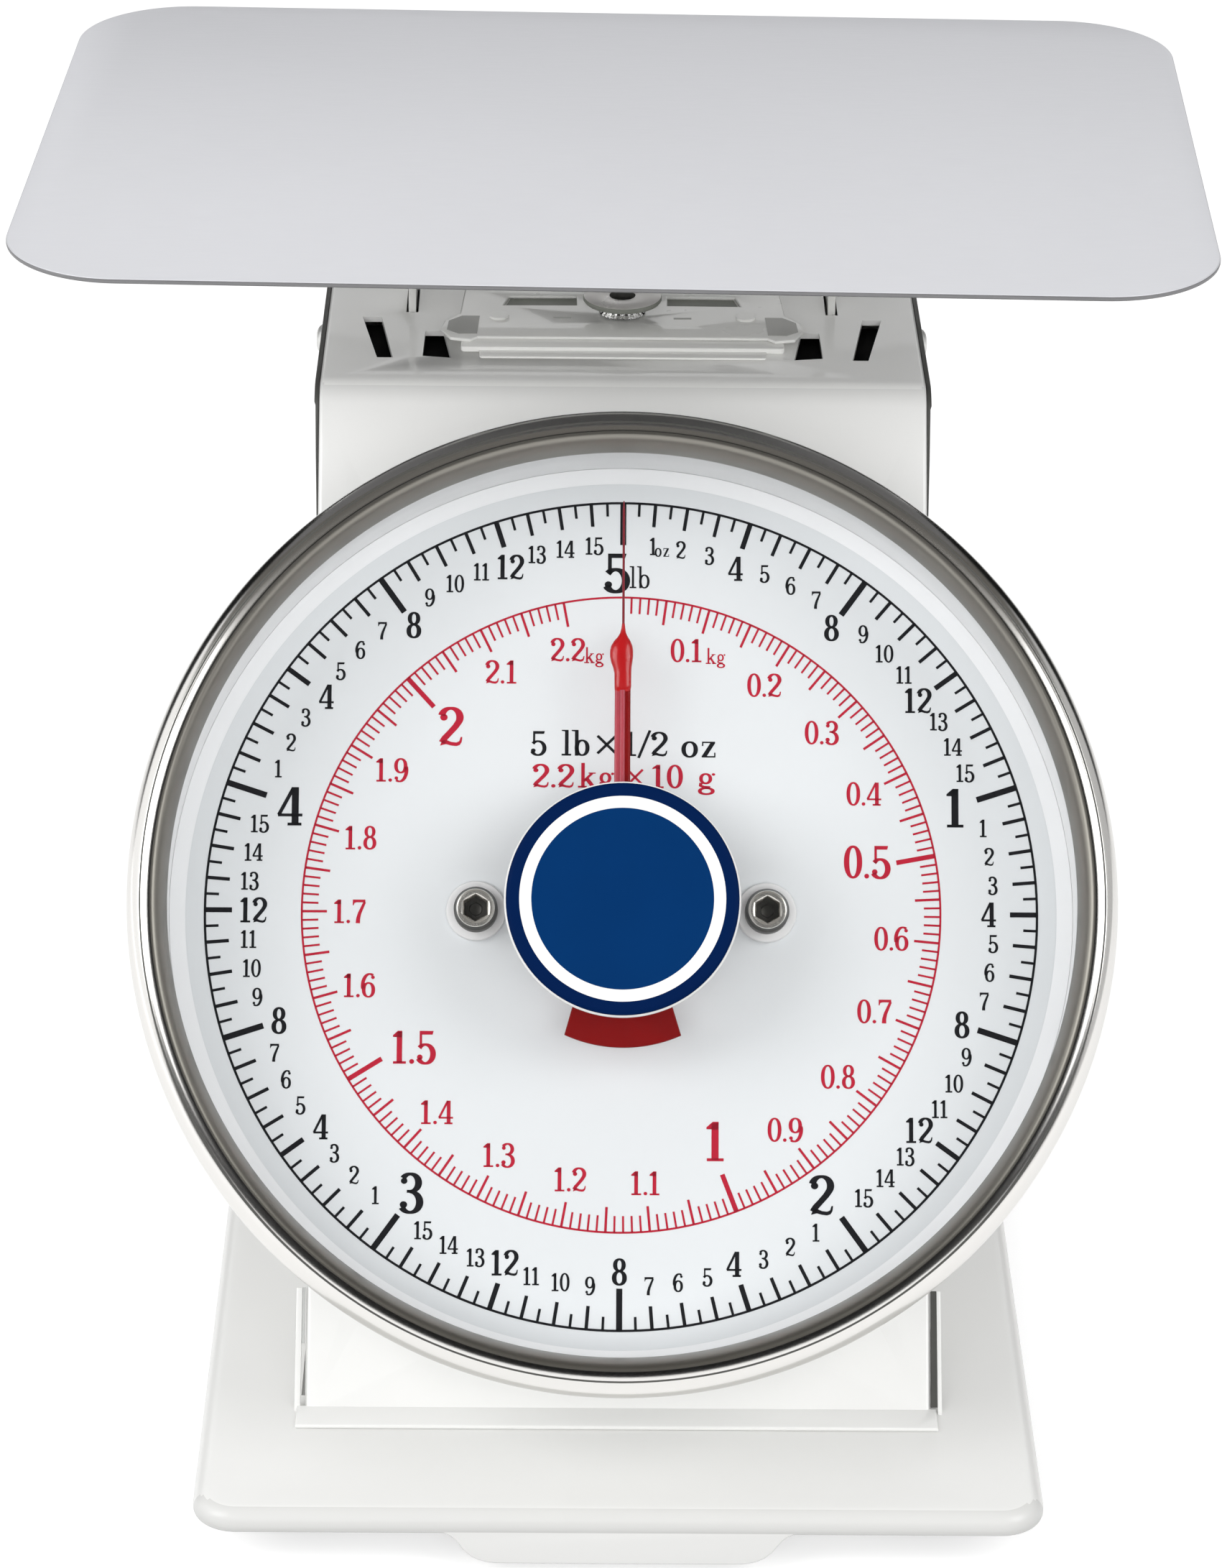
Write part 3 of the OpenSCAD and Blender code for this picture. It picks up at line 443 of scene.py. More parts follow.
class Ink:
    """Collects flat printed shapes on the dial, in mm, and makes one mesh of them."""

    def __init__(self, name, mat, h):
        self.name, self.mat, self.h = name, mat, h
        self.bm = bmesh.new()

    def v(self, x, y):
        return self.bm.verts.new((x * MM, y * MM, self.h * MM))

    def poly(self, pts):
        a = sum(pts[i][0] * pts[(i + 1) % len(pts)][1] - pts[(i + 1) % len(pts)][0] * pts[i][1] for i in range(len(pts)))
        if a < 0:
            pts = pts[::-1]
        f = self.bm.faces.new([self.v(*p) for p in pts])
        if len(pts) > 4:
            bmesh.ops.triangulate(self.bm, faces=[f])

    def strip(self, A, B, closed=False):
        a = [self.v(*p) for p in A]
        b = [self.v(*p) for p in B]
        k = len(a)
        for i in range(k if closed else k - 1):
            j = (i + 1) % k
            f = self.bm.faces.new((a[i], a[j], b[j], b[i]))
            f.normal_update()
            if f.normal.z < 0:
                f.normal_flip()

    def circle(self, r, w, n=256):
        self.strip([((r + w / 2) * math.cos(2 * math.pi * i / n), (r + w / 2) * math.sin(2 * math.pi * i / n)) for i in range(n)],
                   [((r - w / 2) * math.cos(2 * math.pi * i / n), (r - w / 2) * math.sin(2 * math.pi * i / n)) for i in range(n)], True)

    def tick(self, deg, r0, r1, w):
        a = math.radians(deg)
        s, c = math.sin(a), math.cos(a)
        self.poly([(r * s + o * c, r * c - o * s) for r, o in ((r0, -w / 2), (r0, w / 2), (r1, w / 2), (r1, -w / 2))])

    def text(self, s, x, y, size, squeeze=1.0, bold=0.13, thin=0.055, gap=0.05, anchor="c"):
        """Upright text centred on (x, y), size being the height of a numeral."""
        gl = [glyph(c, bold, thin) if c != " " else (0.34, []) for c in s]
        total = sum(w for w, _ in gl) * squeeze + gap * (len(gl) - 1)
        cx = -total / 2 if anchor == "c" else 0.0
        for w, shapes in gl:
            for sh in shapes:
                tr = lambda P: [(x + (cx + px * squeeze) * size, y + (py - 0.5) * size) for px, py in P]
                if sh[0] == "p":
                    self.poly(tr(sh[1]))
                elif sh[0] == "q":
                    self.strip(tr(sh[1]), tr(sh[2]))
                else:
                    self.strip(tr(sh[1]), tr(sh[2]), True)
            cx += w * squeeze + gap
        return total * size

    def done(self):
        me = bpy.data.meshes.new(self.name)
        self.bm.to_mesh(me)
        self.bm.free()
        me.transform(DIAL)
        me.materials.append(M[self.mat])
        ob = bpy.data.objects.new(self.name, me)
        bpy.context.scene.collection.objects.link(ob)
        return ob


black = Ink("dial_print_black", "ink_black", 0.05)
black.circle(86.0, 0.50)
for k in range(160):
    deg = k * 2.25
    if k % 16 == 0:
        black.tick(deg, 86.0, 77.4 if k else 77.1, 1.25)
    elif k % 8 == 0:
        black.tick(deg, 86.0, 80.4, 1.05)
    elif k % 2 == 0:
        black.tick(deg, 86.0, 81.2, 0.72)
    else:
        black.tick(deg, 86.0, 83.2, 0.55)
for n in range(1, 80):
    oz, lb = n % 16, n // 16
    a = math.radians(n * 4.5)
    if oz == 0:
        dx, dy = {1: (0.9, 0.0), 2: (-0.7, 0.0), 3: (-0.6, 0.0), 4: (-0.4, -0.5)}[lb]
        black.text(str(lb), 71.8 * math.sin(a) + dx, 71.8 * math.cos(a) + dy, 8.1, 1.08, 0.165, 0.075)
    elif oz == 8:
        r = 74.0
        black.text("8", r * math.sin(a), r * math.cos(a), 5.5, 1.06, 0.165, 0.08)
    elif oz in (4, 12):
        black.text(str(oz), 76.0 * math.sin(a), 76.0 * math.cos(a), 5.2, 1.0, 0.165, 0.08, gap=0.02)
    else:
        black.text(str(oz), 77.1 * math.sin(a) + (0.25 if n == 1 else 0), 77.1 * math.cos(a), 3.7, 0.97, 0.15, 0.085, gap=-0.01)
black.text("5", -1.4, 71.2, 8.2, 1.12, 0.18, 0.085)
black.text("lb", 3.5, 70.2, 4.4, 1.0, 0.12, 0.07)
black.text("oz", 8.1, 76.1, 2.8, 1.0, 0.14, 0.09)
black.text("5", -17.4, 35.2, 5.1, 1.14, 0.14, 0.075)
black.text("lb", -9.6, 35.2, 5.1, 1.22, 0.14, 0.075, gap=0.04)
black.text("x", -3.2, 35.0, 6.2, 1.15, 0.11, 0.075)
black.text("1/2", 4.9, 35.2, 5.1, 1.22, 0.14, 0.075, gap=0.0)
black.text("oz", 15.9, 35.0, 5.1, 1.30, 0.14, 0.075, gap=0.06)
put(black.done(), "housing", slot="ink_black")

red = Ink("dial_print_red", "ink_red", 0.05)
red.circle(66.0, 0.42)
for k in range(221):
    deg = k * 360.0 / 226.796
    if k == 0:
        continue
    if k % 50 == 0:
        red.tick(deg, 66.0, 57.9, 1.0)
    elif k % 5 == 0:
        red.tick(deg, 66.0, 60.8, 0.52)
    else:
        red.tick(deg, 66.0, 62.6, 0.42)
big = {5: (50.8, 10.8), 10: (19.6, -47.2), 15: (-42.6, -28.2), 20: (-35.5, 38.6)}
for t in range(1, 23):
    a = math.radians(t * 15.873)
    s = "%g" % (t / 10)
    if t in big:
        red.text(s, big[t][0], big[t][1], 8.1 if t in (10, 20) else 6.8, 1.1 if t in (10, 20) else 1.0, 0.165, 0.075, gap=0.02)
    elif t in (1, 22):
        red.text(s, 13.3 if t == 1 else -11.4, 54.9, 4.9, 1.04, 0.15, 0.075, gap=0.02)
        red.text("kg", 19.4 if t == 1 else -5.9, 53.7, 3.2, 1.05, 0.13, 0.08, gap=0.02)
    else:
        red.text(s, 56.1 * math.sin(a), 56.1 * math.cos(a), 4.9, 1.04, 0.15, 0.075, gap=0.02)
red.text("2.2", -14.2, 28.4, 4.9, 1.25, 0.15, 0.08, gap=0.03)
red.text("kg", -5.3, 28.4, 4.9, 1.25, 0.14, 0.08, gap=0.04)
red.text("x", 2.7, 28.2, 5.4, 1.1, 0.11, 0.075)
red.text("10", 9.4, 28.4, 4.9, 1.22, 0.15, 0.08, gap=0.03)
red.text("g", 17.5, 28.4, 5.0, 1.35, 0.14, 0.08)
put(red.done(), "housing", slot="pointer_red")


# ------------------------------------------------------------------ dial: pan, glass, bezel
def axis_frame(x, y, z, axis):
    """Frame at a point given in mm from the dial centre, upright, with its z along axis."""
    q = Vector((0, 0, 1)).rotation_difference(Vector(axis).normalized())
    return Matrix.Translation(O + Vector((x, y, z)) * MM) @ q.to_matrix().to_4x4()


def on_dial(x, s, h):
    return DIAL @ Matrix.Translation(Vector((x, s, h)) * MM)


bezel_prof = [(95.0, 10.0), (96.2, 9.7), (97.3, 10.5), (97.7, 12.0), (97.7, 20.6), (98.3, 21.4), (99.2, 22.2), (99.8, 23.6), (100.0, 25.2), (99.9, 26.8), (99.4, 28.1),
              (98.7, 29.2), (98.0, 29.9), (97.2, 30.4), (96.9, 30.5), (96.7, 30.55), (96.3, 30.75), (95.7, 30.95), (95.0, 31.05), (94.2, 30.9), (93.4, 30.2),
              (92.8, 29.0), (92.3, 27.2), (92.0, 25.2), (91.85, 23.3), (92.6, 23.3), (93.2, 26.0), (94.2, 28.4), (95.2, 29.0), (96.2, 28.0), (97.4, 26.8), (98.6, 25.6), (98.4, 23.4),
              (97.3, 22.2), (97.25, 18.5), (96.6, 17.8), (96.4, 16.0), (95.9, 12.4), (95.0, 12.4)]
# the inner lip takes the darker copy of the stainless and the groove a near-black: painted shade and painted dark
# reflection
put(lathe("bezel_band", smooth_profile(bezel_prof, 2), ["polished_stainless", "bezel_inner_shade", "seam_dark"], 256, mat_of=lambda r, h: 2 if 96.72 < r < 97.1 and h > 29 else 1 if r < 94.9 and h > 20 else 0, angle=60), "housing", "bezel_ring", slot="polished_stainless")

pan_prof = [(8, -15), (92.4, -15), (93.8, -14.6), (94.5, -13.6), (94.6, -12.4), (94.6, 16.0), (95.6, 17.4), (97.0, 18.6), (97.2, 19.2), (97.1, 19.9), (96.5, 20.0), (96.1, 19.2),
            (94.6, 17.7), (93.4, 16.2), (93.4, -12.4), (93.2, -13.2), (92.6, -13.7), (8, -13.8)]
put(lathe("dial_well", smooth_profile(pan_prof, 1), "pan_white", 192, angle=40), "housing", "dial_pan", slot="pan_white")
# a lighter ring over the dial's border and the gap to the pan wall: painted light against the bezel's shade
rim = Ink("dial_rim_ring", "rim_painted_light", 0.06)
rim.circle(91.7, 3.3, 256)
put(rim.done(), "housing", slot="dial_white")

body_prof = [(0, 23.0), (23.3, 23.0), (23.8, 23.2), (23.98, 23.6), (23.98, 24.1), (23.85, 24.45), (23.5, 24.6), (0, 24.6)]
put(lathe("knob_disc", body_prof, "knob_white", 160, angle=50), "knob", "knob_body", slot="knob_white")
hub = [(0, 5.2), (7.3, 5.2), (7.6, 5.5), (7.6, 22.6), (8.2, 23.1), (0, 23.1)]
put(lathe("knob_stem", hub, "knob_white", 64, angle=40), "knob", slot="knob_white")
cap_prof = [(0, 24.6), (23.2, 24.6), (23.5, 24.75), (23.6, 25.0), (23.5, 25.3), (23.2, 25.5), (22.6, 25.6), (21.6, 25.6), (20.5, 25.6), (18.4, 25.6), (10, 25.6), (0, 25.6)]
put(lathe("knob_face", cap_prof, ["knob_blue", "knob_navy"], 160, mat_of=lambda r, h: 1 if r > 20.0 else 0, angle=50), "knob", "knob_cap", slot="knob_blue")
ring = Ink("knob_ring", "knob_white", 25.62)
ring.circle(19.66, 2.43, 200)
put(ring.done(), "knob", slot="knob_white")


# socket screws that hold the dial, with a six-sided recess
def socket_screw(name, x):
    n = 96
    hexr = lambda a: 2.55 / math.cos(((a + math.pi / 6) % (math.pi / 3)) - math.pi / 6)
    prof = [(4.9, 1.62, 0), (5.1, 1.75, 0), (5.1, 5.3, 0), (4.95, 5.6, 0), (4.55, 6.5, 0), (4.45, 6.95, 0), (4.3, 7.15, 0), (3.9, 7.25, 0), (3.3, 7.2, 0.2), (3.05, 7.05, 0.7), (2.85, 6.8, 1),
            (2.75, 4.4, 1), (1.6, 4.3, 0.6), (1.35, 3.9, 0), (0, 3.5, 0)]
    bm = bmesh.new()
    rings = []
    for r, h, hx in prof:
        if r == 0:
            rings.append([bm.verts.new((0, 0, h * MM))])
            continue
        rg = []
        for i in range(n):
            a = 2 * math.pi * i / n
            rr = 0.89 * (r * (1 - hx) + hexr(a) * (r / 2.75) * hx)
            rg.append(bm.verts.new((rr * MM * math.cos(a), rr * MM * math.sin(a), h * MM)))
        rings.append(rg)
    bm.faces.new(rings[0][::-1]).material_index = 1
    for q, (A, B) in enumerate(zip(rings[:-1], rings[1:])):
        for i in range(n):
            j = (i + 1) % n
            f = bm.faces.new((A[i], A[j], B[0])) if len(B) == 1 else bm.faces.new((A[i], A[j], B[j], B[i]))
            # sides, chamfer and recess floor take the dark copy and the flat ring on top the bright copy: painted shade
            # and painted highlight
            f.material_index = 1 if q < 5 or q >= 11 else 2 if q < 9 else 0
    return finish_mesh(name, bm, ["socket_steel", "screw_painted_shade", "screw_painted_highlight"], on_dial(x, 0, 0), 38)


for i, side in ((-1, "left"), (1, "right")):
    put(socket_screw("dial_screw_" + side, i * 30), "housing", *(["dial_screws"] if i < 0 else []), slot="socket_steel")
    w = [(3.15, 0), (6.0, 0), (6.2, 0.25), (6.2, 1.2), (6.0, 1.5), (5.7, 1.6), (3.15, 1.6)]
    put(lathe("dial_washer_" + side, w, "washer_white", 96, on_dial(i * 30, 0, 0)), "housing", *(["dial_washers"] if i < 0 else []), slot="washer_white")


# ------------------------------------------------------------------ pointer
def sweep_y(name, stations, mat, profile, body):
    """Lofts a closed cross-section along the pointer. Each station is (s, left, right, crown)."""
    bm = bmesh.new()
    rings = []
    for s, xl, xr, cr in stations:
        rings.append([bm.verts.new(((xl + (xr - xl) * u) * MM, s * MM, (11.0 + w * cr) * MM)) for u, w in profile])
    for A, B in zip(rings[:-1], rings[1:]):
        k = len(A)
        for i in range(k):
            j = (i + 1) % k
            bm.faces.new((A[i], A[j], B[j], B[i]))
    bm.faces.new(rings[0][::-1])
    bm.faces.new(rings[-1])
    ob = finish_mesh(name, bm, mat, DIAL, 50)
    return put(ob, body)


dome = [(0.5 + 0.5 * math.cos(math.pi * i / 14), math.sin(math.pi * i / 14)) for i in range(15)] + [(0.0, -0.25), (0.5, -0.3), (1.0, -0.25)]
# the drop-shaped head takes a brighter red than the tail: painted highlight
head = sweep_y("pointer_drop", [(44.3, -1.55, 1.15, 0.5), (44.6, -1.72, 1.55, 0.75), (45.6, -1.78, 1.68, 0.95), (48.3, -1.8, 1.7, 1.0), (49.4, -2.05, 1.75, 1.05), (50.6, -2.5, 1.9, 1.12),
                                (51.8, -2.72, 2.05, 1.15), (53.0, -2.72, 2.05, 1.12), (54.0, -2.5, 1.9, 1.05), (55.0, -1.9, 1.5, 0.9), (55.8, -1.2, 1.0, 0.7), (56.6, -0.7, 0.6, 0.5),
                                (57.6, -0.42, 0.42, 0.4), (58.6, -0.3, 0.3, 0.3)], "pointer_painted_highlight", dome, "pointer")
needle = sweep_y("pointer_needle", [(58.0, -0.26, 0.26, 0.3), (70, -0.24, 0.24, 0.28), (82.5, -0.24, 0.24, 0.26), (84.3, -0.12, 0.12, 0.2)], "pointer_needle", dome, "pointer")
ridge = [(1.0, -0.3), (1.0, 0.25), (0.97, 0.45), (0.86, 0.55), (0.66, 0.62), (0.60, 1.15), (0.52, 1.25), (0.44, 1.25), (0.36, 1.15), (0.30, 0.62), (0.12, 0.55), (0.03, 0.45), (0.0, 0.25), (0.0, -0.3)]
shaft = sweep_y("pointer_shaft", [(4.5, -1.75, 1.6, 0.8), (44.7, -1.7, 1.55, 0.8)], "pointer_painted_sheen", ridge, "pointer")
# the shaft is pink with its right-hand edge in the darker red: painted sheen and painted shade across the rib
shaft.data.materials.append(M["pointer_red"])
for f in shaft.data.polygons:
    if (f.center.x - O.x) / MM > 0.42:
        f.material_index = 1


def fan_tail():
    R1, half = 29.0, math.atan2(11.9, 26.4)
    outer = [(0.3 + R1 * math.sin(-half + 2 * half * i / 40), -R1 * math.cos(-half + 2 * half * i / 40)) for i in range(41)]
    inner = [(5.0 * math.cos(a), 5.0 * math.sin(a)) for a in [math.radians(-20 + 220 * i / 30) for i in range(31)]]
    ring_o = outer + inner
    ob = slab("pointer_fan", ring_o, 11.0, 11.9, "pointer_red", DIAL, 0.38, 4)
    return put(ob, "pointer", "pointer", slot="pointer_red")


fan_tail()


# ------------------------------------------------------------------ platform
yaw = math.radians(-1.6)
rot2 = lambda P, a, cx, cy: [(cx + x * math.cos(a) - y * math.sin(a), cy + x * math.sin(a) + y * math.cos(a)) for x, y in P]
plate = rot2(rounded_rect(248.4, 174.2, 25, 28), yaw, -1.1, 115.0)
sheet = slab("platform_sheet", plate, 125.8, 127.0, ["platform_steel", "platform_edge_shade"], BODYF, 0.40, 3)
# the edge and underside of the sheet take the dark copy: painted shade and painted dark reflection
for f in sheet.data.polygons:
    if f.normal.z < 0.35:
        f.material_index = 1
put(sheet, "platform_carriage", "platform", slot="platform_steel")


# ------------------------------------------------------------------ flat sheets with openings
def panel(name, outline, holes, z0, z1, mat, body, edge=0.25, nodes=()):
    """A flat sheet with openings, its rims eased."""
    from mathutils.geometry import delaunay_2d_cdt
    loops = [outline] + holes
    P, E = [], []
    for lp in loops:
        b = len(P)
        P += [Vector(p) for p in lp]
        E += [(b + i, b + (i + 1) % len(lp)) for i in range(len(lp))]
    vs, es, fs, ov, oe, of_ = delaunay_2d_cdt(P, E, [], 1, 1e-6)

    def within(c, lp):
        inside = False
        for i in range(len(lp)):
            (x1, y1), (x2, y2) = lp[i], lp[(i + 1) % len(lp)]
            if (y1 > c[1]) != (y2 > c[1]) and c[0] < (x2 - x1) * (c[1] - y1) / (y2 - y1) + x1:
                inside = not inside
        return inside
    keep = [f for f in fs if not any(within(sum((Vector(vs[i]) for i in f), Vector((0, 0))) / len(f), h) for h in holes)]
    bm = bmesh.new()
    V = [bm.verts.new((v[0] * MM, v[1] * MM, z1 * MM)) for v in vs]
    faces = [bm.faces.new([V[i] for i in f]) for f in keep]
    bmesh.ops.delete(bm, geom=[v for v in bm.verts if not v.link_faces], context="VERTS")
    bmesh.ops.dissolve_limit(bm, angle_limit=0.01, verts=bm.verts[:], edges=bm.edges[:])
    geo = bmesh.ops.extrude_face_region(bm, geom=bm.faces[:])
    bmesh.ops.translate(bm, verts=[v for v in geo["geom"] if isinstance(v, bmesh.types.BMVert)], vec=(0, 0, (z0 - z1) * MM))
    ob = finish_mesh(name, bm, mat, BODYF, 35)
    if edge:
        b = ob.modifiers.new("ease", "BEVEL")
        b.width = edge * MM
        b.segments = 3
        b.limit_method = "ANGLE"
        b.angle_limit = math.radians(50)
        bake(ob)
        ob.data.polygons.foreach_set("use_smooth", [True] * len(ob.data.polygons))
        ob.data.set_sharp_from_angle(angle=math.radians(35))
    return put(ob, body, *nodes, slot=mat)


# ------------------------------------------------------------------ base pan with pressed shoulders and apron
def base():
    cx, cy, w, d, r = 0.0, 44.85, 172.0, 254.3, 9.0
    nseg = 16

    def ringpts(inset):
        return rounded_rect(w - 2 * inset, d - 2 * inset, max(2.2, r - inset), nseg, 2.0, cx, cy)

    R = 3.3
    lev = [(8.0, -92.9), (5.2, -92.9)]
    for k in range(0, 9):
        a = math.pi / 2 * k / 8
        lev.append((R - R * math.sin(a), -92.9 - R * (1 - math.cos(a))))
    lev += [(0.0, -97.0), (0.12, -97.35), (0.5, -97.5), (0.95, -97.45), (1.2, -97.1), (1.2, -96.2)]
    for k in range(1, 7):
        a = math.pi / 2 * k / 6
        lev.append((R - (R - 1.2) * math.cos(a), -96.2 + 2.1 * math.sin(a)))
    lev += [(8.0, -94.1)]
    bm = bmesh.new()
    rings = []
    for inset, z in lev:
        rings.append([bm.verts.new((x * MM, y * MM, z * MM)) for x, y in ringpts(inset)])
    n = len(rings[0])
    for A, B in zip(rings[:-1], rings[1:]):
        for i in range(n):
            j = (i + 1) % n
            bm.faces.new((A[i], B[i], B[j], A[j]))
    holes = [[(64.85, -40), (66.7, -40), (66.7, 138), (64.85, 138)], [(-65.75, -40), (-64.85, -40), (-64.85, 138), (-65.75, 138)]]
    from mathutils.geometry import delaunay_2d_cdt
    outer = ringpts(8.0)
    P = [Vector(p) for p in outer]
    E = [(i, (i + 1) % n) for i in range(n)]
    grid = []
    for h in holes:
        b = len(P)
        P += [Vector(p) for p in h]
        E += [(b + i, b + (i + 1) % 4) for i in range(4)]
    vs, es, fs, ov, oe, of_ = delaunay_2d_cdt(P, E, [], 1, 1e-6)
    inside = lambda c: any(h[0][0] < c[0] < h[1][0] and h[0][1] < c[1] < h[2][1] for h in holes)
    for z, flip, ringv in ((-92.9, False, rings[0]), (-94.1, True, rings[-1])):
        vv = []
        for k, v in enumerate(vs):
            orig = [o for o in ov[k] if o < n]
            vv.append(ringv[orig[0]] if orig else bm.verts.new((v[0] * MM, v[1] * MM, z * MM)))
        for f in fs:
            c = sum((Vector(vs[i]) for i in f), Vector((0, 0))) / len(f)
            if inside(c):
                continue
            bm.faces.new([vv[i] for i in (f[::-1] if flip else f)])
        if not flip:
            topv = {tuple(round(c, 6) for c in vs[i]): vv[i] for i in range(len(vs))}
        else:
            botv = {tuple(round(c, 6) for c in vs[i]): vv[i] for i in range(len(vs))}
    for h in holes:
        ks = [tuple(round(float(c), 6) for c in p) for p in h]
        for i in range(4):
            a, b = ks[i], ks[(i + 1) % 4]
            if a in topv and b in topv and a in botv and b in botv:
                bm.faces.new((topv[a], topv[b], botv[b], botv[a]))
    ob = finish_mesh("base_shell", bm, ["base_enamel", "skirt_painted_shade"], BODYF, 40)
    # faces that turn from the top towards the front get the darker copy of the enamel: painted shade on the skirt
    for f in ob.data.polygons:
        if f.normal.z < 0.97 and f.normal.y < -0.15:
            f.material_index = 1
    return ob


put(base(), "housing", "base_pan", slot="white_enamel")
for tag, x0, x1 in (("left", -65.9, -64.7), ("right", 64.7, 66.9)):
    panel("slot_liner_" + tag, [(x0, -41), (x1, -41), (x1, 139), (x0, 139)], [], -94.9, -94.3, "base_enamel", "housing", 0.0)
apron = [(-37.5, 2.2), (-36.2, 0.6), (-35.2, -0.1), (-34.0, -0.7), (-33.0, -1.6), (-32.2, -2.7), (-31.6, -3.7), (-30.8, -4.7), (-29.6, -5.8), (-28.2, -6.6), (-26.6, -7.1), (-24.6, -7.35), (0, -7.4)]
apron = apron + [(-x, y) for x, y in apron[-2::-1]]
_up = BODYF @ Matrix(((1, 0, 0, 0), (0, 0, -1, 0), (0, 1, 0, 0), (0, 0, 0, 1)))      # local (x, y, z) to (x, -z, y)
put(slab("base_apron", [(x, y - 97.5) for x, y in apron], 80.95, 82.25, "white_enamel", _up, 0.5, 4), "housing", slot="white_enamel")

foot = [(5.0, 0), (8.4, 0), (8.9, 0.25), (9.05, 0.7), (10.3, 11.4), (10.45, 12.2), (10.3, 12.8), (2.15, 12.8), (2.15, 4.0), (5.0, 4.0)]
for k, (x, y) in enumerate(((-66, -56), (66, -56), (-66, 146), (66, 146))):
    put(lathe("foot_%d" % (k + 1), foot, "black_rubber", 72, BODYF @ Matrix.Translation(Vector((x, y, -107)) * MM), angle=35), "housing", *(["rubber_feet"] if k == 0 else []), slot="black_rubber")

# ------------------------------------------------------------------ column


def folded(node, width, seg):
    """A copy of a CAD sheet part whose long outer folds are rounded and whose other edges stay as they are."""
    bm = bmesh.new()
    bm.from_mesh(NODES[node].data)
    bmesh.ops.remove_doubles(bm, verts=bm.verts, dist=2e-6)
    lay = bm.edges.layers.float.new("bevel_weight_edge")
    for e in bm.edges:
        if len(e.link_faces) == 2 and all(abs(abs(v.co.x) - 0.0648) < 2e-5 for v in e.verts):
            nx = sorted(abs(f.normal.x) for f in e.link_faces)
            if nx[0] < 0.02 and nx[1] > 0.98:
                e[lay] = 1.0
    ob = finish_mesh(node + "_skin", bm, [SLOT[node], "top_painted_light"], angle=30)
    b = ob.modifiers.new("round", "BEVEL")
    b.width = width * MM
    b.segments = seg
    b.limit_method = "WEIGHT"
    b.use_clamp_overlap = False
    bake(ob)
    # faces that look up get the lighter copy of the enamel: painted light on the top plate under the platform's shadow
    for f in ob.data.polygons:
        if f.normal.z > 0.93:
            f.material_index = 1
    ob.data.polygons.foreach_set("use_smooth", [True] * len(ob.data.polygons))
    ob.data.set_sharp_from_angle(angle=math.radians(34))
    return ob


put(folded("front_housing", 1.1, 4), "housing", "front_housing", slot="white_enamel")


def shell_path(inset, r=8.0, top=85.2, low=-92.9):
    """Side view of the folded housing as (y, z) points, from the foot up the face and over the bend to the back."""
    sa, ca = math.sin(math.radians(34.8)), math.cos(math.radians(34.8))
    fy = lambda z, h: (h + z * sa) / ca
    zc = top - inset
    yc = fy(zc, 15.0 + inset) + r * math.tan(math.radians(55.2 / 2))
    arc = [(yc + r * math.cos(math.radians(145.2 - i * 5.52)), zc - r + r * math.sin(math.radians(145.2 - i * 5.52))) for i in range(11)]
    return [(fy(z, 15.0 + inset), z) for z in (low, -60, -30, 0, 20, 40, 50, 60, 66, 72)] + arc + [(y, zc) for y in (100, 112, 124, 138, 153.5)]


# the folded lip at the foot of the column, and the open edges beside the face; the dark and grey strips in the slits
# beside the face are painted shade
put(slab("column_foot", [(-66.5, -52.3), (66.0, -52.3), (66.0, -45.0), (-66.5, -45.0)], -92.9, -91.9, "white_enamel", BODYF, 0.45, 3), "housing", slot="white_enamel")
put(slab("face_slit_right", [(64.85, -101), (66.25, -101), (66.05, -77), (64.85, -77)], -16.2, -15.5, "seam_dark", DIAL, 0.05, 1), "housing", slot="black_plastic")
put(slab("face_slit_left", [(-65.6, -88.5), (-65.1, -88.5), (-65.0, -77), (-65.5, -77)], -16.2, -15.5, "slit_shade_grey", DIAL, 0.05, 1), "housing", slot="white_enamel")
put(slab("face_lip_right", [(66.25, -103), (67.2, -103), (66.9, -77), (66.05, -77)], -16.4, -15.3, "white_enamel", DIAL, 0.2, 2), "housing", slot="white_enamel")
put(slab("face_lip_left", [(-67.0, -103), (-65.75, -103), (-65.55, -77), (-66.8, -77)], -16.4, -15.3, "white_enamel", DIAL, 0.2, 2), "housing", slot="white_enamel")


# a dark strip along the rounded fold where the housing meets the side panels: painted shade and painted dark reflection
def seam(side):
    outer, inner = shell_path(0.35), shell_path(1.5, 6.85)
    pick = range(6, len(outer))
    bm = bmesh.new()
    rows = []
    m = len(outer) - 1
    for k in pick:
        t = min(1.0, (k - 6) / 5.0)
        w = 0.02 + 0.95 * t ** 1.3
        o, q = outer[k], inner[k]
        rows.append([bm.verts.new((side * (64.75 + d) * MM, p[0] * MM, p[1] * MM)) for p, d in ((q, 0.0), (q, w * 0.9), (((o[0] * 3 + q[0]) / 4, (o[1] * 3 + q[1]) / 4), w), (o, w * 0.75), (o, 0.0))])
    for A, B in zip(rows[:-1], rows[1:]):
        for i in range(5):
            j = (i + 1) % 5
            bm.faces.new((A[i], A[j], B[j], B[i]))
    bm.faces.new(rows[0][::-1])
    bm.faces.new(rows[-1])
    put(finish_mesh("seam_" + ("left" if side < 0 else "right"), bm, "seam_dark", BODYF, 60), "housing", slot="black_plastic")


seam(-1)
seam(1)
for nm in ("left_side_panel", "right_side_panel", "rear_cover"):
    put(softened(nm, 0.3, 2), "housing", nm, slot="white_enamel")


